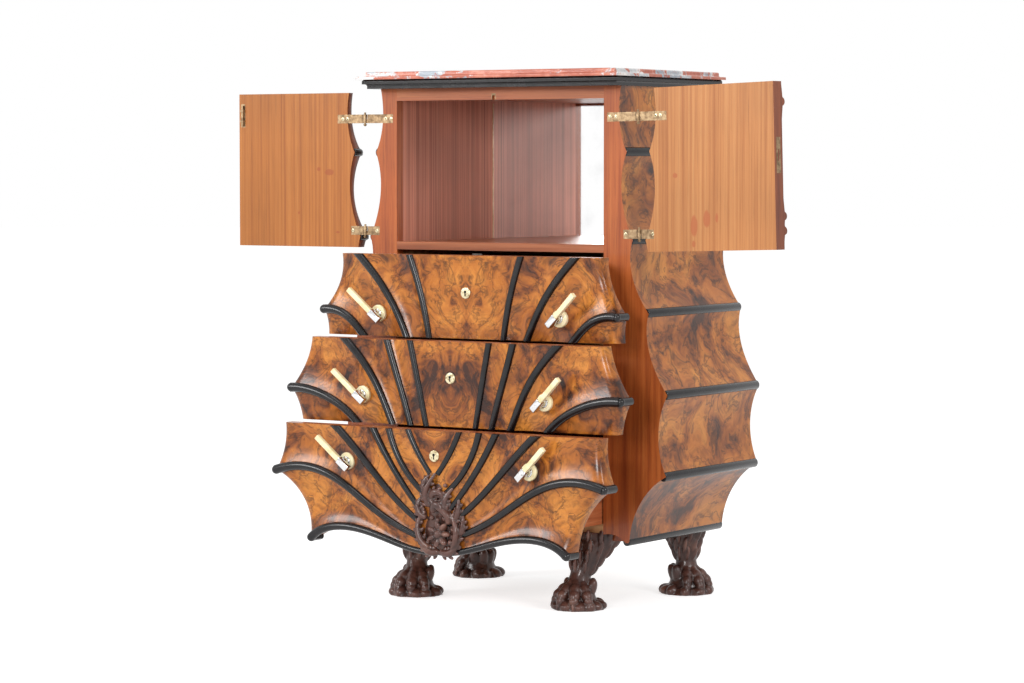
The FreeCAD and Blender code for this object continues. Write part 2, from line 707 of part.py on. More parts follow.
def pull(z):
    """A right-hand pull: a round rose, a metal ferrule on a post, and a bar that points up and out."""
    face = -front_seat - front_thickness
    rose = rod(rose_radius, rose_thickness, V(pull_reach, face, z), V(0, -1, 0))
    start = -bar_length * 0.22

    def along(shape):
        shape.rotate(V(0, 0, 0), V(0, 0, 1), -bar_tilt)
        shape.rotate(V(0, 0, 0), V(0, 1, 0), -bar_angle)
        shape.translate(V(pull_reach, -front_seat - bar_stand, z))
        return shape

    split = start + bar_length * ferrule_share
    half_bar, half_cap = bar_width / 2, ferrule_width / 2
    bar = along(block(split, start + bar_length, -half_bar, half_bar, -half_bar, half_bar))
    cap = along(block(start, split, -half_cap, half_cap, -half_cap, half_cap))
    post_from = face - rose_thickness
    post_run = bar_stand + front_seat + post_from
    post = rod(post_radius, post_run, V(pull_reach, post_from, z), V(0, -1, 0))
    return rose, bar, cap.fuse(post).removeSplitter()


def oval(x, z, y, wide, tall):
    """An upright oval ring at depth y."""
    ring = Part.Wire([Part.Ellipse(V(0, 0, 0), max(wide, tall), min(wide, tall)).toShape()])
    if tall > wide:
        ring.rotate(V(0, 0, 0), V(0, 0, 1), 90)
    ring.rotate(V(0, 0, 0), V(1, 0, 0), 90)
    ring.translate(V(x, y, z))
    return ring


def rosette(face):
    """The boss that the carved acanthus stands on, and the ground that the beads must leave free for it."""
    bosses, ground = [], []
    for x, up, wide, tall, rise, crown in acanthus:
        z = side_foot + up
        rings = [oval(x, z, face, wide, tall), oval(x, z, face - rise / 2, wide, tall),
                 oval(x, z, face - rise, wide * crown, tall * crown)]
        bosses.append(Part.makeLoft(rings, True, True))
        spread = oval(x, z, face + 1, wide + runner_clearance, tall + runner_clearance)
        ground.append(Part.Face(spread).extrude(V(0, -bead_proud - 2, 0)))
    return bosses[0].fuse(bosses[1:]).removeSplitter(), ground


os.makedirs("parts", exist_ok=True)
build_carcass()
build_cornice()
build_feet()
build_door("right_door", right_hinge_lean, right_open_angle, 1)
build_door("left_door", left_hinge_lean, left_open_angle, -1)
for drawer in drawers:
    build_drawer(drawer)
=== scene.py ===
"""A bombe chest, dressed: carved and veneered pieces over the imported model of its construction."""
import math
import random
import bmesh
import bpy
import numpy as np
from mathutils import Matrix, Vector


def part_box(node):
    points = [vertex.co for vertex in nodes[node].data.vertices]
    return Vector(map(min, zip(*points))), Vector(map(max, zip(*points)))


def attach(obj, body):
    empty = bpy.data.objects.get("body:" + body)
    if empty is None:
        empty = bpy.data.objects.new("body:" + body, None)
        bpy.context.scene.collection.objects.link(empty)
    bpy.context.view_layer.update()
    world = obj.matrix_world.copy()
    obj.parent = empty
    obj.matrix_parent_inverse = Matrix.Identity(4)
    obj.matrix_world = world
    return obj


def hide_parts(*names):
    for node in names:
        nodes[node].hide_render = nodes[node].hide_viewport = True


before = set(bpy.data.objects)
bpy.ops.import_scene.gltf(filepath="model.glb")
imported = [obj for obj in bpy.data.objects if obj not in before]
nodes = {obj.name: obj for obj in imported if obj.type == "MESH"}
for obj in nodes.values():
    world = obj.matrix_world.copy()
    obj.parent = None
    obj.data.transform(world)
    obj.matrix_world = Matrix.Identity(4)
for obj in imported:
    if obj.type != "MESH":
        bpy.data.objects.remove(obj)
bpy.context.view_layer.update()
scene = bpy.context.scene

# ---------------------------------------------------------------- viewpoint and lamps
# The chest is seen from its right, level with its open compartment. Big soft lamps in front of it, at both
# sides and above light it, and a white room shows behind it and in its metal.
camera = bpy.data.objects.new("viewpoint", bpy.data.cameras.new("viewpoint"))
scene.collection.objects.link(camera)
camera.location = (3.6613, -5.6405, 0.905)
camera.rotation_euler = (math.radians(86.869), 0, math.radians(33))
camera.data.lens = 113.62
camera.data.sensor_width = 36
camera.data.clip_end = 200
scene.camera = camera
scene.view_settings.view_transform = "Standard"


def softbox(name, place, aim, size, watts):
    lamp = bpy.data.lights.new(name, "AREA")
    lamp.size = size
    lamp.energy = watts
    box = bpy.data.objects.new(name, lamp)
    scene.collection.objects.link(box)
    box.location = place
    box.rotation_euler = (Vector(aim) - Vector(place)).to_track_quat("-Z", "Y").to_euler()


softbox("left_lamp", (-2.8, -4.0, 2.4), (0, 0, 0.6), 1.6, 130)
softbox("right_lamp", (4.8, -1.2, 2.6), (0, 0, 0.6), 1.4, 90)
softbox("top_lamp", (0.3, -1.2, 4.2), (0, 0, 0.5), 2.0, 40)
softbox("front_lamp", (1.6, -6.4, 1.9), (0, 0, 0.8), 1.5, 190)


def add(tree, kind, inputs, **settings):
    """One node, with its settings made and its sockets given values or wires."""
    node = tree.nodes.new("ShaderNode" + kind)
    for key, value in settings.items():
        setattr(node, key, value)
    for socket, value in inputs.items():
        if isinstance(value, bpy.types.NodeSocket):
            tree.links.new(value, node.inputs[socket])
        else:
            node.inputs[socket].default_value = value
    return node


def any_of(tree, one, other):
    return add(tree, "Math", {0: one, 1: other}, operation="ADD", use_clamp=True).outputs[0]


world = bpy.data.worlds.new("studio")
scene.world = world
world.use_nodes = True
sky = world.node_tree
ways = add(sky, "LightPath", {}).outputs
looked_at = any_of(sky, ways["Is Camera Ray"], ways["Is Transmission Ray"])
looked_at = any_of(sky, looked_at, ways["Is Glossy Ray"])
strength = add(sky, "MapRange", {"Value": looked_at, "To Min": 0.55, "To Max": 1.0})
sky.links.new(strength.outputs["Result"], sky.nodes["Background"].inputs["Strength"])
sky.nodes["Background"].inputs["Color"].default_value = (1, 1, 1, 1)


# ---------------------------------------------------------------- sides and stiles
# The carcass is veneered wood. Each side has six hollow bays between ridges, faced with burl, and each
# front stile follows the same line in plain reddish wood with its grain upright.
def paint(red, green, blue):
    """A colour read off a paint chart, 0 to 255."""
    return tuple(((c / 255 + 0.055) / 1.055) ** 2.4 for c in (red, green, blue)) + (1,)


def finish(name, roughness, coat=0.0, metal=0.0):
    material = bpy.data.materials.new(name)
    material.use_nodes = True
    tree = material.node_tree
    shader = tree.nodes["Principled BSDF"]
    shader.inputs["Roughness"].default_value = roughness
    shader.inputs["Coat Weight"].default_value = coat
    shader.inputs["Coat Roughness"].default_value = 0.1
    shader.inputs["Metallic"].default_value = metal
    shader.inputs["Specular IOR Level"].default_value = 0.5 if metal else 0.3
    return material, tree, shader


def ramp(tree, factor, stops):
    node = add(tree, "ValToRGB", {"Fac": factor})
    band = node.color_ramp
    while len(band.elements) < len(stops):
        band.elements.new(0.5)
    for element, (place, colour) in zip(band.elements, stops):
        element.position = place
        element.color = colour
    return node.outputs["Color"]


def mix(tree, factor, under, over, how="MIX"):
    node = add(tree, "Mix", {0: factor, 6: under, 7: over}, data_type="RGBA", blend_type=how)
    return node.outputs[2]


def emboss(tree, height, strength, distance):
    """Lets a pattern stand up from the surface."""
    skin = add(tree, "Bump", {"Height": height, "Strength": strength, "Distance": distance})
    tree.links.new(skin.outputs["Normal"], tree.nodes["Principled BSDF"].inputs["Normal"])


grey = {level: (level, level, level, 1) for level in (0.0, 0.25, 0.5, 0.75, 1.0)}


def burl(name, pale, warm, brown, dark, book=True, size=1.0, gloss=0.24):
    """Walnut burl: clouded colour, swirling figure, fine dark veins and eyes. book halves the pattern."""
    material, tree, shader = finish(name, gloss, 0.12)
    place = add(tree, "TexCoord", {}).outputs["Object"]
    if book:
        parts = add(tree, "SeparateXYZ", {0: place})
        side = add(tree, "Math", {0: parts.outputs["X"]}, operation="ABSOLUTE")
        place = add(tree, "CombineXYZ", {0: side.outputs[0], 1: parts.outputs["Y"],
                                         2: parts.outputs["Z"]}).outputs[0]
    sway = add(tree, "TexNoise", {"Vector": place, "Scale": 6.0 / size, "Detail": 3.0})
    drift = add(tree, "VectorMath", {0: sway.outputs["Color"], 1: (0.5, 0.5, 0.5)}, operation="SUBTRACT")
    drift = add(tree, "VectorMath", {0: drift.outputs[0], "Scale": 0.26 * size}, operation="SCALE")
    flow = add(tree, "VectorMath", {0: place, 1: drift.outputs[0]}, operation="ADD").outputs[0]
    cloud = add(tree, "TexNoise", {"Vector": flow, "Scale": 11.0 / size, "Detail": 8.0, "Roughness": 0.62})
    colour = ramp(tree, cloud.outputs["Fac"], [(0.36, dark), (0.43, brown), (0.51, warm), (0.64, pale)])
    fine = add(tree, "TexNoise", {"Vector": flow, "Scale": 52.0 / size, "Detail": 7.0, "Roughness": 0.7})
    curls = ramp(tree, fine.outputs["Fac"], [(0.36, grey[0.25]), (0.47, grey[0.75]), (0.55, grey[1.0])])
    colour = mix(tree, 0.6, colour, curls, "MULTIPLY")
    rings = add(tree, "TexWave", {"Vector": flow, "Scale": 9.0 / size, "Distortion": 14.0, "Detail": 5.0,
                                  "Detail Scale": 2.2, "Detail Roughness": 0.65})
    lines = ramp(tree, rings.outputs["Fac"], [(0.0, grey[0.25]), (0.16, grey[1.0])])
    colour = mix(tree, 0.7, colour, lines, "MULTIPLY")
    cracks = add(tree, "TexVoronoi", {"Vector": flow, "Scale": 13.0 / size}, feature="DISTANCE_TO_EDGE")
    veins = ramp(tree, cracks.outputs["Distance"], [(0.0, grey[0.0]), (0.035, grey[1.0])])
    patch = add(tree, "TexNoise", {"Vector": place, "Scale": 7.0 / size, "Detail": 2.0})
    where = ramp(tree, patch.outputs["Fac"], [(0.45, grey[0.0]), (0.6, grey[1.0])])
    colour = mix(tree, where, colour, mix(tree, 0.6, colour, veins, "MULTIPLY"))
    buds = add(tree, "TexVoronoi", {"Vector": flow, "Scale": 30.0 / size})
    eyes = ramp(tree, buds.outputs["Distance"], [(0.04, grey[0.25]), (0.11, grey[1.0])])
    few = ramp(tree, patch.outputs["Fac"], [(0.52, grey[0.0]), (0.62, grey[1.0])])
    colour = mix(tree, few, colour, mix(tree, 0.7, colour, eyes, "MULTIPLY"))
    tree.links.new(colour, shader.inputs["Base Color"])
    wear = add(tree, "TexNoise", {"Vector": place, "Scale": 22.0, "Detail": 5.0})
    sheen = add(tree, "MapRange", {"Value": wear.outputs["Fac"], "To Min": gloss - 0.05,
                                   "To Max": gloss + 0.14})
    tree.links.new(sheen.outputs["Result"], shader.inputs["Roughness"])
    emboss(tree, cloud.outputs["Fac"], 0.12, 0.001)
    return material


def veneer(name, pale, warm, dark, stretch, gloss=0.35, coat=0.2, ribbon=0.0):
    """Straight-grained veneer. stretch is how fast the grain changes along X, Y and Z."""
    material, tree, shader = finish(name, gloss, coat)
    place = add(tree, "TexCoord", {}).outputs["Object"]
    along = add(tree, "Mapping", {"Vector": place, "Scale": stretch}).outputs[0]
    grain = add(tree, "TexNoise", {"Vector": along, "Scale": 1.0, "Detail": 7.0, "Roughness": 0.55,
                                   "Distortion": 0.25})
    colour = ramp(tree, grain.outputs["Fac"], [(0.3, dark), (0.5, warm), (0.72, pale)])
    broad = add(tree, "TexNoise", {"Vector": place, "Scale": 4.0, "Detail": 3.0})
    shade = ramp(tree, broad.outputs["Fac"], [(0.35, grey[0.75]), (0.6, grey[1.0])])
    colour = mix(tree, 0.6, colour, shade, "MULTIPLY")
    pores = add(tree, "Mapping", {"Vector": place, "Scale": tuple(7 * s for s in stretch)}).outputs[0]
    flecks = add(tree, "TexNoise", {"Vector": pores, "Scale": 1.0, "Detail": 4.0})
    dots = ramp(tree, flecks.outputs["Fac"], [(0.36, grey[0.5]), (0.44, grey[1.0])])
    colour = mix(tree, 0.45, colour, dots, "MULTIPLY")
    if ribbon:
        stripes = add(tree, "TexNoise", {"Vector": along, "Scale": 0.45, "Detail": 2.0})
        bands = ramp(tree, stripes.outputs["Fac"], [(0.4, grey[0.5]), (0.56, grey[1.0])])
        colour = mix(tree, ribbon, colour, bands, "MULTIPLY")
    tree.links.new(colour, shader.inputs["Base Color"])
    emboss(tree, flecks.outputs["Fac"], 0.12, 0.0006)
    return material


def dress(material, *names):
    for name in names:
        nodes[name].data.materials.clear()
        nodes[name].data.materials.append(material)


def fit(name, shape, materials, body, replaced, sharp=40):
    """A finished piece, smooth but for its arrises, that rides on a body and stands for some nodes."""
    data = bpy.data.meshes.new(name)
    shape.to_mesh(data)
    shape.free()
    data.polygons.foreach_set("use_smooth", [True] * len(data.polygons))
    data.set_sharp_from_angle(angle=math.radians(sharp))
    for material in materials:
        data.materials.append(material)
    piece = bpy.data.objects.new(name, data)
    scene.collection.objects.link(piece)
    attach(piece, body)
    if replaced:
        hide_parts(*replaced)


def sweep(points, steps):
    """Evenly spaced places on one smooth line through a few chosen (across, up) points."""
    points = np.array(points, float)
    run = np.concatenate([[0], np.cumsum(np.hypot(*np.diff(points, axis=0).T))])
    order = min(len(points) - 1, 5)
    at = np.linspace(0, run[-1], steps)
    return np.stack([np.polyval(np.polyfit(run, points[:, i], order), at) for i in (0, 1)], axis=1)


def relief(columns, rows, place, back):
    """A carved board: a grid laid over its face, pushed to shape, with its rim carried back to a flat."""
    mesh = bmesh.new()
    bmesh.ops.create_grid(mesh, x_segments=columns, y_segments=rows, size=0.5)
    mesh.verts.ensure_lookup_table()
    flat = np.array([vert.co[:2] for vert in mesh.verts]) + 0.5
    for vert, spot in zip(mesh.verts, place(flat[:, 0], flat[:, 1])):
        vert.co = spot
    rim = [edge for edge in mesh.edges if edge.is_boundary]
    wall = bmesh.ops.extrude_edge_only(mesh, edges=rim)["geom"]
    for vert in wall:
        if isinstance(vert, bmesh.types.BMVert):
            vert.co = back(vert.co)
    for face in wall:
        if isinstance(face, bmesh.types.BMFace):
            face.material_index = 1
    rim = [edge for edge in mesh.edges if edge.is_boundary]
    for face in bmesh.ops.contextual_create(mesh, geom=rim)["faces"]:
        face.material_index = 2
    bmesh.ops.recalc_face_normals(mesh, faces=mesh.faces)
    return mesh


ridges = [(0.309, 0.931), (0.3235, 0.753), (0.361, 0.606), (0.405, 0.443), (0.402, 0.279), (0.317, 0.1435)]
hollows = [((0.2905, 1.022), (0.297, 0.962)), ((0.2965, 0.868), (0.304, 0.806)),
           ((0.3175, 0.712), (0.333, 0.652)), ((0.3565, 0.562), (0.368, 0.511)),
           ((0.386, 0.385), (0.388, 0.322)), ((0.368, 0.254), (0.334, 0.207))]
top_corner = (0.296, 1.064)
foot_corner = (0.314, 0.140)
bays = []
for high, (upper, lower), low in zip([top_corner] + ridges[:-1], hollows, ridges):
    bays.append(sweep([high, upper, lower, low], 17))
outline = np.concatenate([bays[0][:1]] + [bay[1:] for bay in bays] + [[foot_corner]])


def reach(height):
    """How far the bombe line stands out from the centre line at a height."""
    return np.interp(height, outline[::-1, 1], outline[::-1, 0])


side_low, side_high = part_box("right_side")
stile_low, stile_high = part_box("right_stile")
stile_face = stile_low.y + 0.00015
bracket = sweep([(0.309, 0.139), (0.294, 0.1505), (0.254, 0.154)], 9)[::-1]


def side_skin(across, up):
    at = up * (len(outline) - 1)
    x = np.interp(at, range(len(outline)), outline[:, 0])
    z = np.interp(at, range(len(outline)), outline[:, 1])
    y = side_low.y + across * (side_high.y - side_low.y)
    return np.stack([x, y, z], axis=1)


def stile_skin(across, up):
    at = up * (len(outline) - 1)
    far = np.interp(at, range(len(outline)), outline[:, 0])
    x = stile_low.x + across * (far - stile_low.x)
    z = np.interp(at, range(len(outline)), outline[:, 1])
    z = np.maximum(z, np.interp(x, bracket[:, 0], bracket[:, 1]))
    return np.stack([x, np.full(len(x), stile_face), z], axis=1)


side_burl = burl("side_burl", paint(204, 132, 58), paint(178, 104, 40), paint(138, 74, 26), paint(72, 36, 14),
                 book=False, size=1.4, gloss=0.3)
red_wood = veneer("red_wood", paint(180, 100, 48), paint(160, 81, 36), paint(130, 58, 25), (90, 90, 2.4))
raw_wood = veneer("raw_wood", paint(196, 150, 104), paint(172, 124, 80), paint(132, 88, 54), (3, 60, 60),
                  gloss=0.6, coat=0.0)
for hand, name in ((1, "right"), (-1, "left")):
    turn = Matrix.Scale(hand, 4, (1, 0, 0))
    panel = relief(10, len(outline) - 1, side_skin, lambda spot: (side_low.x, spot.y, spot.z))
    frame_piece = relief(10, len(outline) - 1, stile_skin, lambda spot: (spot.x, stile_high.y, spot.z))
    for face in frame_piece.faces:
        if face.material_index == 1 and face.calc_center_median().x < (stile_low.x + foot_corner[0]) / 2:
            face.material_index = 0
    for mesh in (panel, frame_piece):
        mesh.transform(turn)
        bmesh.ops.recalc_face_normals(mesh, faces=mesh.faces)
    fit(name + "_burl_side", panel, [side_burl, red_wood, raw_wood], "carcass", [name + "_side"])
    fit(name + "_veneered_stile", frame_piece, [red_wood, side_burl, raw_wood], "carcass", [name + "_stile"])

# ---------------------------------------------------------------- beads of the sides
# Round ebonised beads run from front to back along the ridges. They are turned, glued on and polished
# black.
def mottled(name, scale, detail, stops, roughness, coat=0.0, metal=0.0):
    """A finish that drifts between a few tones. Its pattern is handed on, so that wear can follow it."""
    material, tree, shader = finish(name, roughness, coat, metal)
    place = add(tree, "TexCoord", {}).outputs["Object"]
    pattern = add(tree, "TexNoise", {"Vector": place, "Scale": scale, "Detail": detail}).outputs["Fac"]
    tree.links.new(ramp(tree, pattern, stops), shader.inputs["Base Color"])
    return material, pattern


def wear_down(material, pattern, at_low, at_high):
    """Lets the roughness follow a pattern. It is given for the pattern's low places and its high ones."""
    tree = material.node_tree
    wear_and_painted_light = add(tree, "MapRange", {"Value": pattern, "To Min": at_low, "To Max": at_high})
    tree.links.new(wear_and_painted_light.outputs["Result"], tree.nodes["Principled BSDF"].inputs["Roughness"])


bead_black, dust = mottled("bead_black", 40.0, 2.0, [(0.35, paint(10, 9, 11)), (0.7, paint(26, 23, 25))],
                           0.26, coat=0.12)
wear_down(bead_black, dust, 0.2, 0.32)

side_bead_out, side_bead_tall, side_bead_proud = 0.0085, 0.0098, 0.0015
beads = bmesh.new()
bead_front, bead_back = stile_face + 0.0004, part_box("side_beads")[1].y
for x, z in ridges:
    for hand in (1, -1):
        middle = (hand * (x + side_bead_proud - side_bead_out), (bead_front + bead_back) / 2, z)
        turn = Matrix.Translation(middle) @ Matrix.Rotation(math.radians(90), 4, "X")
        turn = turn @ Matrix.Diagonal((side_bead_out, side_bead_tall, 1, 1))
        bmesh.ops.create_cone(beads, cap_ends=True, segments=40, radius1=1.0, radius2=1.0,
                              depth=bead_back - bead_front, matrix=turn)
ends = [edge for edge in beads.edges if len(edge.link_faces) == 2
        and max(len(face.verts) for face in edge.link_faces) > 4]
bmesh.ops.bevel(beads, geom=ends, offset=0.0012, segments=3, profile=0.5, affect="EDGES", material=-1)
fit("side_bead_rods", beads, [bead_black], "carcass", ["side_beads"])

# ---------------------------------------------------------------- marble slab and cornice
# A slab of salmon marble with white and grey veins, its edge moulded in steps, lies by its own weight on a
# black cornice mitred at its corners.
marble, tree, shader = finish("salmon_marble", 0.2, 0.1)
place = add(tree, "TexCoord", {}).outputs["Object"]
sway = add(tree, "TexNoise", {"Vector": place, "Scale": 7.0, "Detail": 5.0})
drift = add(tree, "VectorMath", {0: sway.outputs["Color"], "Scale": 0.35}, operation="SCALE")
flow = add(tree, "VectorMath", {0: place, 1: drift.outputs[0]}, operation="ADD").outputs[0]
cloud = add(tree, "TexNoise", {"Vector": flow, "Scale": 14.0, "Detail": 8.0, "Roughness": 0.62})
colour = ramp(tree, cloud.outputs["Fac"], [(0.34, paint(158, 82, 64)), (0.5, paint(178, 102, 82)),
                                           (0.62, paint(192, 124, 104))])
white_ways = add(tree, "TexNoise", {"Vector": flow, "Scale": 11.0, "Detail": 7.0, "Roughness": 0.66})
patches = ramp(tree, white_ways.outputs["Fac"], [(0.515, grey[0.0]), (0.545, grey[1.0])])
pale = ramp(tree, cloud.outputs["Fac"], [(0.4, paint(150, 158, 166)), (0.6, paint(222, 218, 214))])
colour = mix(tree, patches, colour, pale)
cracks = add(tree, "TexVoronoi", {"Vector": flow, "Scale": 10.0}, feature="DISTANCE_TO_EDGE")
veins = ramp(tree, cracks.outputs["Distance"], [(0.0, grey[0.5]), (0.012, grey[0.0])])
colour = mix(tree, veins, colour, paint(206, 150, 130))
tree.links.new(colour, shader.inputs["Base Color"])
dress(marble, "marble_top")
dress(bead_black, "cornice")

# ---------------------------------------------------------------- boards and the mirrored compartment
# The boards behind the fronts are plain wood. The compartment is lined with striped veneer and has a
# sheet of mirror for its back.
striped = veneer("striped_veneer", paint(216, 148, 122), paint(198, 130, 106), paint(172, 106, 86),
                 (230, 230, 1.2), gloss=0.5, coat=0.0, ribbon=0.4)
floor_veneer = veneer("floor_veneer", paint(200, 124, 84), paint(172, 99, 62), paint(134, 70, 42),
                      (1.6, 90, 90), gloss=0.34, coat=0.1, ribbon=0.5)
rail_wood = veneer("rail_wood", paint(174, 102, 58), paint(156, 84, 46), paint(126, 60, 31), (2.4, 90, 90))
box_wood = veneer("box_wood", paint(190, 114, 72), paint(166, 90, 52), paint(128, 64, 36), (60, 3, 60),
                  gloss=0.5, coat=0.0)
dress(striped, "left_lining", "right_lining")
dress(floor_veneer, "shelf", "carcass_top")
dress(rail_wood, "top_rail")
dress(raw_wood, "back_board", "upper_dust_board", "lower_dust_board", "bottom_board", "drawer_guides")

silvering = mottled("silvering", 16.0, 6.0, [(0.3, paint(246, 246, 246)), (0.5, paint(255, 255, 255))],
                    0.03, metal=1.0)[0]
dress(silvering, "mirror")


def brick(mesh, x0, x1, y0, y1, z0, z1, round_off, turn=Matrix.Identity(4)):
    """Adds a block between two corners with its arrises rounded."""
    size = Matrix.Diagonal((x1 - x0, y1 - y0, z1 - z0, 1))
    spot = Matrix.Translation(((x0 + x1) / 2, (y0 + y1) / 2, (z0 + z1) / 2))
    made = bmesh.ops.create_cube(mesh, size=1.0, matrix=turn @ spot @ size)["verts"]
    edges = {edge for vert in made for edge in vert.link_edges}
    bmesh.ops.bevel(mesh, geom=list(edges), offset=round_off, segments=3, profile=0.5, affect="EDGES",
                    material=-1)


glass_edge = veneer("glass_edge", paint(236, 214, 180), paint(214, 188, 150), paint(176, 146, 110),
                    (40, 40, 40))
glass_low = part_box("mirror")[0]
inner_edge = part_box("left_lining")[1].x
shelf_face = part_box("shelf")[1].z
rail_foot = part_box("top_rail")[0].z
edge_wide, edge_stand, edge_gap, edge_round = 0.0014, 0.0012, 0.0001, 0.0002
ground_edge = bmesh.new()
for hand in (1, -1):
    sides = sorted((hand * inner_edge, hand * (inner_edge + edge_wide)))
    brick(ground_edge, *sides, glass_low.y - edge_stand, glass_low.y - edge_gap, shelf_face, rail_foot,
          edge_round)
fit("mirror_ground_edges", ground_edge, [glass_edge], "carcass", [])

# ---------------------------------------------------------------- drawer fronts
# Three thick fronts, faced with book-matched burl. Black beads run over them like the ribs of a fan, and
# the wood is hollowed between the beads. The ends of the fronts follow the bombe line.
drawer_names = ("drawer_1", "drawer_2", "drawer_3")
drop = {"drawer_1": 0.003, "drawer_2": 0.003, "drawer_3": 0.007}
base = {"drawer_1": 0.549, "drawer_2": 0.3722, "drawer_3": 0.140}
# beads of the right half, in millimetres across from the centre line and up from the base
rays = {
    "drawer_1": [
        [(90, -10), (104, 69), (117, 116), (141, 183)],
        [(143, -10), (171, 52), (197, 94), (233, 138), (278, 184)],
        [(241, -12), (267, 14), (293, 38), (327, 53), (358, 54)],
    ],
    "drawer_2": [
        [(58, -10), (79, 94), (99, 187)],
        [(96, -10), (113, 49), (131, 104), (157, 187)],
        [(138, -12), (162, 42), (187, 90), (225, 140), (274, 188)],
        [(222, -12), (263, 28), (314, 54), (360, 66), (402, 68)],
    ],
    "drawer_3": [
        [(9, 144), (40, 188), (68, 245)],
        [(21, 100), (81, 164), (113, 245)],
        [(40, 76), (96, 145), (157, 245)],
        [(34, 43), (112, 103), (176, 167), (262, 245)],
        [(44, 15), (112, 43), (192, 91), (272, 133), (341, 143), (399, 132)],
        [(0, -14), (65, -10), (112, 2), (176, 19), (240, 23), (279, 16), (311, -4)],
    ],
}
to_tip = {"drawer_1": 1, "drawer_2": 1, "drawer_3": 2}
ridge_stand = 0.0385
top_lean = 0.006
deepest = 0.013
corner_round, corner_deep = 0.020, 0.011
ray_radius, tip_radius, knob_radius = 0.0072, 0.0086, 0.0092
ray_sunk = 0.0022
ray_swell = 1.4

front_burl = burl("front_burl", paint(196, 124, 50), paint(166, 96, 34), paint(122, 64, 24),
                  paint(56, 26, 12))


def ray_lines(name):
    lines = []
    for ray in rays[name]:
        lines.append(sweep([(x / 1000, base[name] + up / 1000) for x, up in ray], 40))
    return lines


def both_halves(lines):
    return lines + [line * (-1, 1) for line in lines]


def distances(x, z, line):
    """How far each place lies from a line, measured to its nearest stretch."""
    spots = np.stack([x, z], axis=1)[:, None]
    start, along = line[:-1], np.diff(line, axis=0)
    share = np.sum((spots - start) * along, axis=2) / np.sum(along * along, axis=1)
    nearest = start + np.clip(share, 0, 1)[..., None] * along
    return np.min(np.hypot(*np.moveaxis(spots - nearest, 2, 0)), axis=1)


def hollow(x, z, lines):
    """How deep the wood is scooped out between the two beads nearest to each place."""
    gaps = np.sort(np.array([distances(x, z, line) for line in lines]), axis=0)
    spread = gaps[0] + gaps[1] + 1e-6
    calm = 0.35 + 0.65 * np.clip((np.abs(x) - 0.02) / 0.12, 0, 1)
    return calm * np.minimum(deepest, 0.19 * spread) * (1 - ((gaps[1] - gaps[0]) / spread) ** 2)


def rounding(from_end, wide, deep):
    """How far the face turns back near its outer end."""
    inward = np.clip(wide - from_end, 0, wide) / wide
    return deep * (1 - np.sqrt(1 - 0.98 * inward ** 2))


def tube(mesh, spots, radius, swell=0.0):
    """Adds a round bead along a run of places. swell makes it thicker away from the middle of the front."""
    line = bpy.data.curves.new("bead", "CURVE")
    line.dimensions = "3D"
    line.bevel_depth = radius
    line.bevel_resolution = 5
    line.use_fill_caps = True
    spline = line.splines.new("POLY")
    spline.points.add(len(spots) - 1)
    for dot, spot in zip(spline.points, spots):
        dot.co = (*spot, 1)
        dot.radius = 0.82 + swell * abs(spot[0]) if swell else 1
    holder = bpy.data.objects.new("bead", line)
    data = bpy.data.meshes.new_from_object(holder)
    mesh.from_mesh(data)
    bpy.data.objects.remove(holder)
    bpy.data.curves.remove(line)
    bpy.data.meshes.remove(data)


def trim(mesh, spot, away):
    """Saws off what lies on the far side of a plane and closes the cut."""
    bmesh.ops.remove_doubles(mesh, verts=mesh.verts, dist=0.00002)
    every = list(mesh.verts) + list(mesh.edges) + list(mesh.faces)
    bmesh.ops.bisect_plane(mesh, geom=every, plane_co=spot, plane_no=away, clear_outer=True)
    bmesh.ops.holes_fill(mesh, edges=[edge for edge in mesh.edges if edge.is_boundary], sides=0)


for name in drawer_names:
    low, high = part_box(name + "_front")
    back = high.y
    lines = ray_lines(name)
    both = both_halves(lines)
    hem = sweep([(0, low.z), (0.065, 0.1255), (0.112, 0.1375), (0.176, 0.1545), (0.240, 0.1585),
                 (0.279, 0.151), (0.314, 0.133)], 30)

    def front_skin(across, up):
        z = low.z + up * (high.z - low.z)
        for _ in range(4):
            x = (2 * across - 1) * reach(z + drop[name])
            if name == "drawer_3":
                foot = np.interp(np.abs(x), hem[:, 0], hem[:, 1])
                z = foot + up * (high.z - foot)
        y = back - ridge_stand - top_lean * up + hollow(x, z, both)
        from_end = reach(z + drop[name]) - np.abs(x)
        y += rounding(from_end, corner_round, corner_deep)
        return np.stack([x, y, z], axis=1)

    board = relief(220, 70, front_skin, lambda spot: (spot.x, back, spot.z))
    for face in board.faces:
        if face.material_index == 1 and abs(face.normal.z) < 0.8:
            face.material_index = 0
    fit(name + "_carved_front", board, [front_burl, rail_wood, raw_wood], name, [name + "_front"],
        sharp=50)

    beads = bmesh.new()
    for number, line in enumerate(lines):
        lean = top_lean * (line[:, 1] - low.z) / (high.z - low.z)
        run = [(x, back - ridge_stand + ray_sunk - off, z) for (x, z), off in zip(line, lean)]
        tube(beads, run, ray_radius, ray_swell)
        if number >= len(lines) - to_tip[name]:
            x, y, z = run[-1]
            tube(beads, [(x, y, z), (x + 0.001, back - 0.022, z), (x + 0.001, back - 0.002, z)], tip_radius)
            bmesh.ops.create_uvsphere(beads, u_segments=24, v_segments=16, radius=knob_radius,
                                      matrix=Matrix.Translation((x, y + 0.001, z)))
    if name != "drawer_3":
        trim(beads, (0, 0, low.z), (0, 0, -1))
    trim(beads, (0, 0, high.z), (0, 0, 1))
    trim(beads, (0, 0, 0), (-1, 0, 0))
    half = bpy.data.meshes.new("half")
    beads.to_mesh(half)
    half.transform(Matrix.Scale(-1, 4, (1, 0, 0)))
    half.flip_normals()
    beads.from_mesh(half)
    bpy.data.meshes.remove(half)
    fit(name + "_round_beads", beads, [bead_black], name, [name + "_beads"], sharp=60)

dress(box_wood, *[name + "_box" for name in drawer_names])

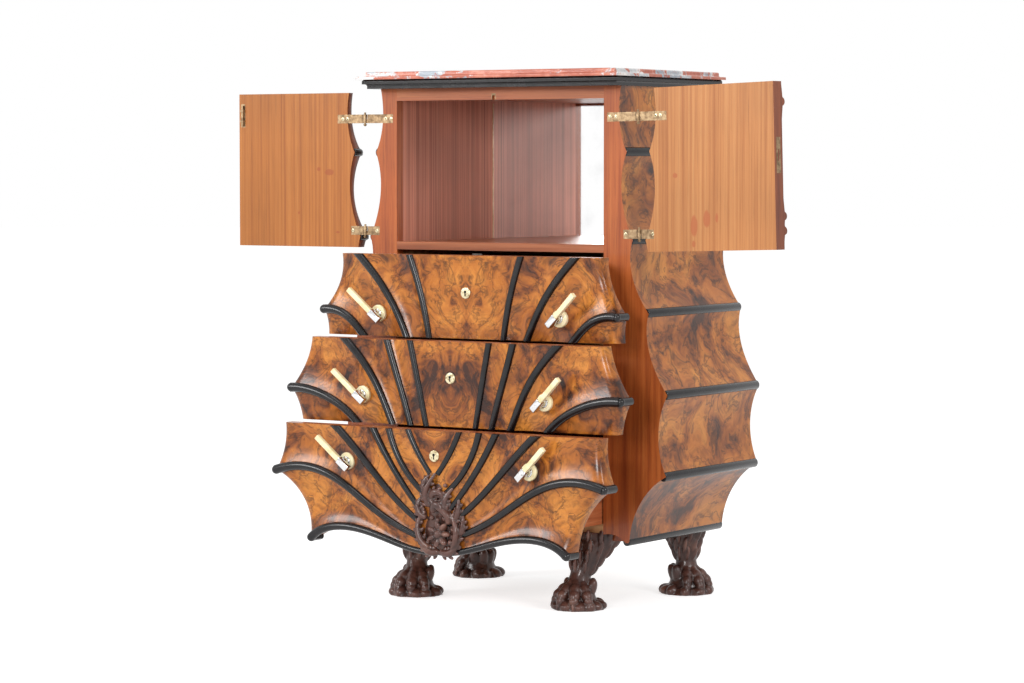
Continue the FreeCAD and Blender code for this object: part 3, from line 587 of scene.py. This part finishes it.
# ---------------------------------------------------------------- pulls
# Each pull is an ivory-coloured bar in a chromed ferrule. The ferrule's post goes through an ivory rose
# into the front.
ivory = mottled("ivory", 45.0, 5.0, [(0.3, paint(214, 194, 142)), (0.55, paint(238, 224, 184))],
                0.3, coat=0.3)[0]
ivory.node_tree.nodes["Principled BSDF"].inputs["Subsurface Weight"].default_value = 0.05
chrome, pits = mottled("chrome", 260.0, 4.0, [(0.3, paint(150, 146, 140)), (0.4, paint(206, 206, 206))],
                       0.14, metal=1.0)
wear_down(chrome, pits, 0.06, 0.3)


def disc(mesh, centre, axis, radius, thick, round_off, segments=48):
    """Adds a turned disc that starts at a centre and grows along an axis, its outer rim rounded."""
    turn = Vector(axis).to_track_quat("Z", "Y").to_matrix().to_4x4()
    place = Matrix.Translation(Vector(centre) + Vector(axis) * thick / 2) @ turn
    made = bmesh.ops.create_cone(mesh, cap_ends=True, segments=segments, radius1=radius, radius2=radius,
                                 depth=thick, matrix=place)["verts"]
    far = Vector(centre) + Vector(axis) * thick * 0.75
    rim = {edge for vert in made for edge in vert.link_edges
           if all((v.co - far).dot(Vector(axis)) > 0 for v in edge.verts)}
    bmesh.ops.bevel(mesh, geom=list(rim), offset=round_off, segments=4, profile=0.5, affect="EDGES",
                    material=-1)


outwards = Vector((0, -1, 0))
pull_reach = 0.222
rose_stand, rose_radius, rose_thick = 0.0265, 0.0180, 0.0085
post_radius, post_long, collar_radius, collar_thick = 0.0078, 0.018, 0.0100, 0.003
bar_stand = 0.0539
bar_half, cap_half = 0.0052, 0.0068
bar_from, bar_split, bar_to = -0.0209, 0.0076, 0.0741
pull_up = {"drawer_1": 0.597, "drawer_2": 0.432, "drawer_3": 0.298}
key_up = {"drawer_1": 0.644, "drawer_2": 0.473, "drawer_3": 0.3195}
for name in drawer_names:
    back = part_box(name + "_front")[1].y
    pulls = bmesh.new()
    caps = bmesh.new()
    for hand in (1, -1):
        centre = Vector((hand * pull_reach, back, pull_up[name]))
        rose = centre + outwards * rose_stand
        disc(pulls, rose, outwards, rose_radius, rose_thick, 0.0022)
        turn = Matrix.Translation(centre + outwards * bar_stand)
        turn = turn @ Matrix.Scale(hand, 4, (1, 0, 0)) @ Matrix.Rotation(math.radians(-43.5), 4, "Y")
        turn = turn @ Matrix.Rotation(math.radians(-8), 4, "Z")
        brick(pulls, bar_split - 0.004, bar_to, -bar_half, bar_half, -bar_half, bar_half, 0.0012, turn)
        brick(caps, bar_from, bar_split, -cap_half, cap_half, -cap_half, cap_half, 0.0014, turn)
        disc(caps, rose + outwards * 0.007, outwards, post_radius, post_long, 0.001)
        disc(caps, rose + outwards * 0.0083, outwards, collar_radius, collar_thick, 0.001)
    for mesh in (pulls, caps):
        bmesh.ops.recalc_face_normals(mesh, faces=mesh.faces)
    fit(name + "_ivory_pulls", pulls, [ivory], name, [name + "_pulls"])
    fit(name + "_chrome_caps", caps, [chrome], name, [name + "_ferrules"])

# ---------------------------------------------------------------- drawer locks
# A round brass key plate with a raised rim is let into each front. The lock case is screwed on behind,
# and its steel bolt slides upwards.
brass, tarnish = mottled("aged_brass", 120.0, 6.0, [(0.34, paint(104, 84, 62)), (0.52, paint(140, 116, 88)),
                                                    (0.7, paint(164, 140, 108))], 0.42, metal=0.85)
wear_down(brass, tarnish, 0.55, 0.3)
emboss(brass.node_tree, tarnish, 0.3, 0.0004)
pale_brass = mottled("pale_brass", 200.0, 5.0, [(0.34, paint(150, 132, 96)), (0.52, paint(214, 202, 168))],
                     0.3, metal=0.8)[0]
# Nearly black: painted shade for the keyhole and the screw slots, which are thin sheets laid on, not cut.
painted_hole_shade = mottled("painted_hole_shade", 300.0, 2.0, [(0.3, paint(10, 8, 6)), (0.7, paint(30, 24, 18))], 0.8)[0]

plate_radius, plate_thick, plate_let_in = 0.0115, 0.0035, 0.0012
step_radius, step_foot, step_thick = 0.0098, 0.0030, 0.0012
hole_radius, hole_up, hole_thick = 0.0030, 0.0024, 0.0009
slit_half, slit_foot, slit_top = 0.0013, 0.0066, 0.0020
for name in drawer_names:
    low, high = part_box(name + "_front")
    back = high.y
    here = np.array([0.0]), np.array([key_up[name]])
    sunk = hollow(*here, both_halves(ray_lines(name)))[0]
    climb = top_lean * (key_up[name] - low.z) / (high.z - low.z)
    centre = Vector((0, back - ridge_stand - climb + sunk + plate_let_in, key_up[name]))
    lock = bmesh.new()
    disc(lock, centre, outwards, plate_radius, plate_thick, 0.0008)
    disc(lock, centre + outwards * step_foot, outwards, step_radius, step_thick, 0.0003)
    # The keyhole is a dark disc and slit standing on the plate: painted shade where a hole would be.
    before = set(lock.faces)
    disc(lock, centre + Vector((0, -plate_thick, hole_up)), outwards, hole_radius, hole_thick, 0.0001, 20)
    brick(lock, -slit_half, slit_half, centre.y - plate_thick - hole_thick, centre.y - plate_thick,
          key_up[name] - slit_foot, key_up[name] + slit_top, 0.0001)
    for face in set(lock.faces) - before:
        face.material_index = 1
    case_low, case_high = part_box(name + "_lock")
    brick(lock, case_low.x, case_high.x, back, case_high.y, key_up[name] - 0.016, case_high.z, 0.0008)
    bmesh.ops.recalc_face_normals(lock, faces=lock.faces)
    fit(name + "_key_plate", lock, [pale_brass, painted_hole_shade], name, [name + "_lock"])
# the file marks on the steel run straight, like a grain
steel = veneer("bolt_steel", paint(96, 92, 88), paint(76, 72, 68), paint(52, 48, 44), (120, 120, 8),
               gloss=0.4)
steel.node_tree.nodes["Principled BSDF"].inputs["Metallic"].default_value = 0.9
dress(steel, "drawer_1_bolt", "drawer_2_bolt", "drawer_3_bolt", "door_lock_bolt")

# ---------------------------------------------------------------- doors
# Two doors fold right back. Inside they are flat, with upright grain. Outside, burl is hollowed between
# black beads, and a bead bent to an oval goes round the lock. Their hinge edges follow the bombe line.
door_low, door_high = 0.7298, 1.0574
meeting = 0.0010
hinge_x, hinge_mid = 0.337, 0.88375
face_y = -0.055
door_seat = 0.0003
door_inner, door_ridge = face_y - 0.00045, face_y - 0.0335
door_round, door_round_deep = 0.012, 0.006
bead_line = door_ridge + 0.0035
bead_bulge = ray_radius + 0.0008
door_tip_radius = 0.0088
door_rays = [
    sweep([(0.262, 0.718), (0.297, 0.741), (0.3185, 0.7525)], 20),
    sweep([(0.136, 0.722), (0.176, 0.802), (0.232, 0.881), (0.3035, 0.931)], 30),
    sweep([(-0.01, 0.766), (0.070, 0.757), (0.140, 0.724)], 20),
]
oval = np.array([(0.122 * math.cos(turn), 0.9065 + 0.1115 * math.sin(turn))
                 for turn in np.linspace(-math.pi / 2 - 0.05, math.pi / 2 + 0.05, 60)])
lean = math.radians(0.85)
hinge_axis = Vector((-math.sin(lean), 0, math.cos(lean)))


def about(spot, axis, degrees):
    """A turn about an axis that goes through a spot."""
    return (Matrix.Translation(spot) @ Matrix.Rotation(math.radians(degrees), 4, axis)
            @ Matrix.Translation(-Vector(spot)))


flip = Matrix.Scale(-1, 4, (1, 0, 0))
hinge_spot = Vector((hinge_x, face_y, hinge_mid))
swing = {"right_door": about(hinge_spot, hinge_axis, 172.5),
         "left_door": flip @ about(hinge_spot, Vector((0, 0, 1)), 180)}
honey = veneer("honey_veneer", paint(188, 130, 78), paint(178, 117, 66), paint(156, 94, 48),
               (170, 170, 1.3), gloss=0.36, coat=0.1)
amber = veneer("amber_veneer", paint(174, 110, 52), paint(162, 97, 41), paint(138, 76, 30),
               (150, 150, 1.3), gloss=0.36, coat=0.1)


def stain(material, tone, spots):
    """Old marks on a veneer. Each spot is its centre across and up, and its half width and half height."""
    tree = material.node_tree
    socket = tree.nodes["Principled BSDF"].inputs["Base Color"]
    colour = socket.links[0].from_socket
    place = add(tree, "TexCoord", {}).outputs["Object"]
    for x, z, wide, tall in spots:
        shape = add(tree, "Mapping", {"Vector": place, "Scale": (1 / wide, 0, 1 / tall),
                                      "Location": (-x / wide, 0, -z / tall)}).outputs[0]
        blur = add(tree, "TexNoise", {"Vector": shape, "Scale": 1.2, "Detail": 3.0})
        ragged = add(tree, "VectorMath", {0: blur.outputs["Color"], "Scale": 0.5}, operation="SCALE")
        shape = add(tree, "VectorMath", {0: shape, 1: ragged.outputs[0]}, operation="ADD").outputs[0]
        far = add(tree, "VectorMath", {0: shape}, operation="LENGTH")
        mark = ramp(tree, far.outputs["Value"], [(0.75, grey[0.75]), (0.98, grey[0.0])])
        colour = mix(tree, mark, colour, tone)
    tree.links.new(colour, socket)


stain(honey, paint(160, 84, 46), [(0.478, 0.790, 0.010, 0.025), (0.509, 0.803, 0.010, 0.020),
                                  (0.532, 0.803, 0.004, 0.011), (0.430, 0.885, 0.007, 0.006),
                                  (0.476, 0.750, 0.005, 0.008)])
stain(amber, paint(144, 72, 34), [(-0.428, 0.891, 0.014, 0.008), (-0.458, 0.897, 0.006, 0.005),
                                  (-0.408, 0.762, 0.006, 0.003), (-0.512, 0.803, 0.003, 0.004)])
lipping = veneer("door_lipping", paint(150, 84, 50), paint(128, 66, 38), paint(98, 48, 28), (60, 60, 3),
                 gloss=0.4)
inner_wood = {"right_door": honey, "left_door": amber}


def door_skin(across, up):
    z = door_low + up * (door_high - door_low)
    x = meeting + across * (reach(z) - meeting)
    y = door_ridge + 0.0015 + hollow(x, z, door_rays + [oval, oval * (-1, 1)])
    near = np.min([distances(x, z, line) for line in door_rays + [oval]], axis=0)
    swell = bead_line - np.sqrt(np.clip(bead_bulge ** 2 - near ** 2, 0, None))
    y = np.where((x < 0.006) & (near < bead_bulge), np.minimum(y, swell), y)
    y += rounding(reach(z) - x, door_round, door_round_deep)
    return np.stack([x, y, z], axis=1)


for name in ("right_door", "left_door"):
    board = relief(130, 150, door_skin, lambda spot: (spot.x, door_inner, spot.z))
    board.transform(swing[name])
    bmesh.ops.recalc_face_normals(board, faces=board.faces)
    fit(name + "_carved_panel", board, [front_burl, lipping, inner_wood[name]], name, [name],
        sharp=50)
    beads = bmesh.new()
    for line in door_rays + [oval]:
        tube(beads, [(x, bead_line, z) for x, z in line], ray_radius)
    for x, z in (door_rays[0][-1], door_rays[1][-1]):
        bead_end = [(x - 0.004, bead_line, z), (x - 0.0005, door_ridge + 0.012, z),
                    (x - 0.0005, door_inner - 0.002, z)]
        tube(beads, bead_end, door_tip_radius)
    trim(beads, (0, 0, door_low), (0, 0, -1))
    trim(beads, (meeting + 0.003, 0, 0), (-1, 0, 0))
    beads.transform(swing[name])
    bmesh.ops.recalc_face_normals(beads, faces=beads.faces)
    fit(name + "_round_beads", beads, [bead_black], name, [name + "_beads"], sharp=60)
dress(brass, "left_door_hinges", "right_door_hinges", "carcass_hinge_straps", "hinge_pins", "bolt_plate",
      "flush_bolt", "door_lock", "door_strike")


head_radius, head_proud = 0.0036, 0.00012
slot_half_long, slot_half_wide, slot_half_thick = 0.0034, 0.0005, 0.00002


def screws(name, body, spots, turn):
    """Countersunk screws with one slot, a hair proud. spots are across, up and which way they face."""
    heads = bmesh.new()
    for x, z, facing in spots:
        seat = face_y - door_seat if facing > 0 else face_y
        disc(heads, (x, seat, z), (0, facing, 0), head_radius, head_proud, 0.00003, 28)
        # The slot is a thin dark sheet on the head: painted shade where a cut would be.
        plain = set(heads.faces)
        cut = Matrix.Translation((x, seat + facing * head_proud, z))
        cut = cut @ Matrix.Rotation(0.4 + 40 * x + 9 * z, 4, "Y")
        brick(heads, -slot_half_long, slot_half_long, -slot_half_thick, slot_half_thick, -slot_half_wide,
              slot_half_wide, 0.00001, cut)
        for face in set(heads.faces) - plain:
            face.material_index = 1
    heads.transform(turn)
    bmesh.ops.recalc_face_normals(heads, faces=heads.faces)
    fit(name, heads, [pale_brass, painted_hole_shade], body, [])


strap_spots = [(0.279, 1.002), (0.291, 1.002), (0.3045, 0.7655)]
stile_spots = [(0.270, 1.002), (0.284, 1.002), (0.307, 0.7655)]
both_hands = [(hand * x, z, -1) for x, z in stile_spots for hand in (1, -1)]
screws("carcass_strap_screws", "carcass", both_hands, Matrix.Identity(4))
for name in ("right_door", "left_door"):
    screws(name + "_strap_screws", name, [(x, z, 1) for x, z in strap_spots], swing[name])

# ---------------------------------------------------------------- feet
# Four lion paws carved from the solid: leaves round the knee, a thin ankle, toes with knuckles and claws
# that grip a rough rock. They are stained dark and waxed.
carved, tree, shader = finish("dark_carving", 0.36, 0.25)
place = add(tree, "TexCoord", {}).outputs["Object"]
cuts = add(tree, "TexNoise", {"Vector": place, "Scale": 90.0, "Detail": 6.0, "Roughness": 0.6})
hue = add(tree, "TexNoise", {"Vector": place, "Scale": 24.0, "Detail": 4.0})
colour = ramp(tree, hue.outputs["Fac"], [(0.3, paint(78, 50, 44)), (0.55, paint(112, 74, 64)),
                                         (0.72, paint(150, 108, 92))])
# Painted shade and highlight by curvature: the hollows are darkened most, the flats less, and the ridges keep
# their light colour.
pits = add(tree, "NewGeometry", {})
wear_and_painted_light = ramp(tree, pits.outputs["Pointiness"], [(0.46, paint(20, 11, 9)), (0.5, paint(128, 118, 112)),
                                               (0.56, grey[1.0])])
colour = mix(tree, 0.75, colour, wear_and_painted_light, "MULTIPLY")
tree.links.new(colour, shader.inputs["Base Color"])
emboss(tree, cuts.outputs["Fac"], 0.35, 0.0012)

ball = bmesh.new()
bmesh.ops.create_uvsphere(ball, u_segments=20, v_segments=14, radius=1.0)
round_mass = bpy.data.meshes.new("round_mass")
ball.to_mesh(round_mass)
ball.free()


def lump(mesh, centre, size, along=(0, 0, 1), spin=0.0):
    """Adds one rounded carved mass. size is its half width, half depth and half length along its axis."""
    turn = Vector(along).to_track_quat("Z", "Y").to_matrix().to_4x4() @ Matrix.Rotation(spin, 4, "Z")
    mass = round_mass.copy()
    mass.transform(Matrix.Translation(centre) @ turn @ Matrix.Diagonal((*size, 1)))
    mesh.from_mesh(mass)
    bpy.data.meshes.remove(mass)


def carve(name, masses, grain, body, node, smoothing):
    """Joins a heap of masses into one skin, as if cut from one block."""
    bmesh.ops.recalc_face_normals(masses, faces=masses.faces)
    data = bpy.data.meshes.new(name + "_masses")
    masses.to_mesh(data)
    masses.free()
    block = bpy.data.objects.new(name + "_masses", data)
    scene.collection.objects.link(block)
    skin = block.modifiers.new("skin", "REMESH")
    skin.mode = "VOXEL"
    skin.voxel_size = grain
    rub = block.modifiers.new("rub", "SMOOTH")
    rub.factor = 0.5
    rub.iterations = smoothing
    bpy.context.view_layer.update()
    whole = bpy.data.meshes.new_from_object(block.evaluated_get(bpy.context.evaluated_depsgraph_get()))
    shape = bmesh.new()
    shape.from_mesh(whole)
    bpy.data.objects.remove(block)
    bpy.data.meshes.remove(data)
    bpy.data.meshes.remove(whole)
    fit(name, shape, [carved], body, [node], sharp=180)


def paw(knee, sole, facing, seed):
    """One leg and paw. knee and sole are its places on the floor plan, facing turns the toes."""
    rough = random.Random(seed)
    mesh = bmesh.new()
    stations = [(0.157, knee, 0.043), (0.140, knee, 0.044), (0.118, knee.lerp(sole, 0.3), 0.037),
                (0.092, knee.lerp(sole, 0.65), 0.027), (0.070, knee.lerp(sole, 0.9), 0.0215),
                (0.050, sole, 0.025), (0.030, sole, 0.034), (0.012, sole, 0.040)]
    top, spot, wide = stations[0]
    ring = bmesh.ops.create_circle(mesh, cap_ends=True, segments=28, radius=wide,
                                   matrix=Matrix.Translation((*spot, top)))["verts"]
    edges = list({edge for vert in ring for edge in vert.link_edges})
    for z, next_spot, next_wide in stations[1:]:
        grown = bmesh.ops.extrude_edge_only(mesh, edges=edges)["geom"]
        verts = [item for item in grown if isinstance(item, bmesh.types.BMVert)]
        edges = [item for item in grown if isinstance(item, bmesh.types.BMEdge)]
        for vert in verts:
            around = (vert.co.xy - spot) * (next_wide / wide)
            vert.co = (*(next_spot + around), z)
        spot, wide = next_spot, next_wide
    bmesh.ops.contextual_create(mesh, geom=edges)
    turn = Matrix.Rotation(facing, 2)

    def towards(degrees):
        return turn @ Vector((math.sin(math.radians(degrees)), -math.cos(math.radians(degrees))))

    levels = [0.070, 0.092, 0.118, 0.140]
    for row, (z, count, long) in enumerate([(0.142, 12, 0.024), (0.122, 12, 0.024), (0.102, 11, 0.022),
                                            (0.085, 9, 0.020)]):
        share = float(np.interp(z, levels, [0.9, 0.65, 0.3, 0.0]))
        wide = float(np.interp(z, levels, [0.0215, 0.027, 0.037, 0.044]))
        middle = knee.lerp(sole, share)
        for number in range(count):
            way = 2 * math.pi * (number + 0.5 * row) / count + rough.uniform(-0.1, 0.1)
            out = Vector((math.cos(way), math.sin(way)))
            tilt = Vector((out.x * 0.45 - 0.25 * out.y, out.y * 0.45 + 0.25 * out.x, 1.0))
            lump(mesh, (*(middle + out * (wide - 0.004)), z), (0.0052, 0.0105, long), tilt)
    for way in (-58, -20, 20, 58):
        out = towards(way)
        fat = 0.0128 if abs(way) < 40 else 0.0118
        for reach_out, z, size, long in [(0.010, 0.060, 0.62, 2.2), (0.020, 0.050, 0.76, 1.7),
                                         (0.030, 0.040, 1.0, 1.25), (0.040, 0.030, 0.94, 1.2),
                                         (0.0455, 0.020, 0.8, 1.1)]:
            lump(mesh, (*(sole + out * reach_out), z), (fat * size, fat * size, fat * size * long),
                 (out.x, out.y, -0.9))
        lump(mesh, (*(sole + out * 0.052), 0.013), (0.0042, 0.0042, 0.011), (out.x * 0.4, out.y * 0.4, -1))
    for way in (-105, 105, 180, 145, -145):
        out = towards(way)
        lump(mesh, (*(sole + out * 0.023), 0.036), (0.013, 0.013, 0.028), (out.x * 0.5, out.y * 0.5, 1))
    for number in range(11):
        way = 2 * math.pi * number / 11 + rough.uniform(-0.2, 0.2)
        out = Vector((math.cos(way), math.sin(way)))
        size = rough.uniform(0.015, 0.021)
        far = 0.0595 - size + rough.uniform(-0.002, 0.0)
        lump(mesh, (*(sole + out * far), 0.007), (size, size * 0.8, rough.uniform(0.010, 0.014)), spin=way)
    bmesh.ops.create_cone(mesh, cap_ends=True, segments=9, radius1=0.0565, radius2=0.048, depth=0.013,
                          matrix=Matrix.Translation((*sole, 0.0065)) @ Matrix.Rotation(seed, 4, "Z"))
    trim(mesh, (0, 0, 0.0), (0, 0, -1))
    return mesh


# knee and sole, across and back from the face of the stiles, and how far the toes turn outwards
feet = {"front": ((0.220, 0.038), (0.201, -0.008), 0), "back": ((0.254, 0.328), (0.264, 0.3240), 90)}
seed = 0
for end, (knee, sole, toes_out) in feet.items():
    for hand, side in ((1, "right"), (-1, "left")):
        knee_spot = Vector((hand * knee[0], knee[1])) + Vector((0, face_y))
        sole_spot = Vector((hand * sole[0], sole[1])) + Vector((0, face_y))
        masses = paw(knee_spot, sole_spot, math.radians(hand * toes_out), seed)
        carve(f"{end}_{side}_lion_paw", masses, 0.0017, "carcass", f"{end}_{side}_foot", 2)
        seed += 1

# ---------------------------------------------------------------- acanthus on the lowest front
# A carved spray covers the place where the beads meet: a rose in a ring of leaves, with a curling leaf
# that rises to a point, and small berries between.
spray = bmesh.new()
spray_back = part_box("drawer_3_front")[1].y
spray_face = spray_back - ridge_stand + 0.004
leaf_thick = 0.0065


def leaf(spots, wide, stand):
    """A carved leaf or stem that tapers from its root along a run of (across, up) places, in millimetres."""
    line = sweep([(x / 1000, z / 1000) for x, z in spots], 26)
    for number, (x, z) in enumerate(line[:-1]):
        share = number / (len(line) - 1)
        size = (1 - share) ** 0.6 * (0.55 + 0.9 * math.sin(math.pi * min(1, share + 0.15)))
        way = line[number + 1] - line[number]
        level = spray_face - stand - 0.004 * math.sin(math.pi * share)
        lump(spray, (x, level, z), (0.8 * wide * size + 0.0012, leaf_thick * (0.5 + 0.5 * size), 0.006),
             (way[0], 0, way[1]))
        if number % 5 == 2 and share < 0.85:
            length = math.hypot(way[0], way[1])
            for side in (-1, 1):
                out = (side * way[1] / length, -side * way[0] / length)
                lobe = (x + out[0] * wide * size * 1.25, level + 0.003, z + out[1] * wide * size * 1.25)
                curl = (out[0] + way[0] / length, 0, out[1] + way[1] / length)
                lump(spray, lobe, (0.0034, 0.0036, 0.0072), curl)


def berry(x, z, radius, stand):
    lump(spray, (x / 1000, spray_face - stand, z / 1000), (radius, radius, radius))


for x, z, wide, tall in ((15, 168, 46, 50), (14, 205, 34, 34), (8, 240, 18, 36)):
    lump(spray, (x / 1000, spray_face + 0.002, z / 1000), (wide / 1000, 0.009, tall / 1000))
for number in range(7):
    way = 2 * math.pi * number / 7
    lump(spray, (0.018 + 0.0155 * math.cos(way), spray_face - 0.015, 0.164 + 0.0155 * math.sin(way)),
         (0.0085, 0.006, 0.0125), (math.cos(way), -0.35, math.sin(way)))
berry(18, 164, 0.0085, 0.019)
for spots, wide, stand in [
    ([(-14, 136), (-32, 158), (-34, 186), (-20, 206)], 0.007, 0.010),
    ([(48, 136), (58, 160), (54, 188), (36, 208)], 0.007, 0.010),
    ([(20, 126), (44, 128), (58, 142), (66, 160)], 0.006, 0.008),
    ([(8, 126), (-14, 128), (-28, 142), (-38, 160)], 0.006, 0.008),
    ([(40, 190), (24, 214), (0, 230), (-4, 254)], 0.0075, 0.013),
    ([(36, 206), (30, 228), (38, 246), (46, 256)], 0.006, 0.009),
    ([(50, 192), (60, 206), (62, 224), (60, 238)], 0.006, 0.007),
    ([(58, 166), (70, 174), (72, 188), (70, 202)], 0.005, 0.006),
    ([(-22, 196), (-34, 206), (-36, 222), (-28, 236)], 0.006, 0.008),
    ([(-6, 222), (-14, 240), (-8, 262), (6, 284)], 0.0085, 0.012),
    ([(0, 236), (14, 248), (24, 244), (22, 232)], 0.005, 0.014),
    ([(4, 212), (18, 222), (26, 216), (22, 206)], 0.0045, 0.016),
    ([(-20, 244), (-24, 256), (-20, 270), (-10, 282)], 0.0045, 0.006),
]:
    leaf(spots, wide, stand)
for x, z, radius, stand in [(30, 262, 0.0045, 0.010), (26, 236, 0.005, 0.012), (-24, 232, 0.005, 0.010),
                            (-26, 200, 0.0045, 0.011), (60, 192, 0.0045, 0.009), (34, 126, 0.004, 0.012),
                            (2, 196, 0.0055, 0.016), (16, 192, 0.005, 0.017), (44, 148, 0.005, 0.014)]:
    berry(x, z, radius, stand)
trim(spray, (0, spray_back - 0.027, 0), (0, 1, 0))
carve("acanthus_spray", spray, 0.0013, "drawer_3", "rosette", 1)

# ---------------------------------------------------------------- floor
# The pale floor isn't part of the chest. It shows the chest's shadow, and it glows for the viewer and in
# reflections, so that it meets the white room with no horizon.
ground = bmesh.new()
bmesh.ops.create_circle(ground, cap_ends=True, segments=64, radius=40.0)
data = bpy.data.meshes.new("floor")
ground.to_mesh(data)
ground.free()
floor = bpy.data.objects.new("floor", data)
scene.collection.objects.link(floor)
floor.location.z = -0.0005
pale_floor, tree, shader = finish("pale_floor", 0.9)
shader.inputs["Base Color"].default_value = (0.62, 0.62, 0.62, 1)
shader.inputs["Specular IOR Level"].default_value = 0.0
shader.inputs["Emission Color"].default_value = (1, 1, 1, 1)
ways = add(tree, "LightPath", {}).outputs
looked_at = any_of(tree, ways["Is Camera Ray"], ways["Is Glossy Ray"])
glow = add(tree, "MapRange", {"Value": looked_at, "To Min": 0.0, "To Max": 0.7})
tree.links.new(glow.outputs["Result"], shader.inputs["Emission Strength"])
data.materials.append(pale_floor)
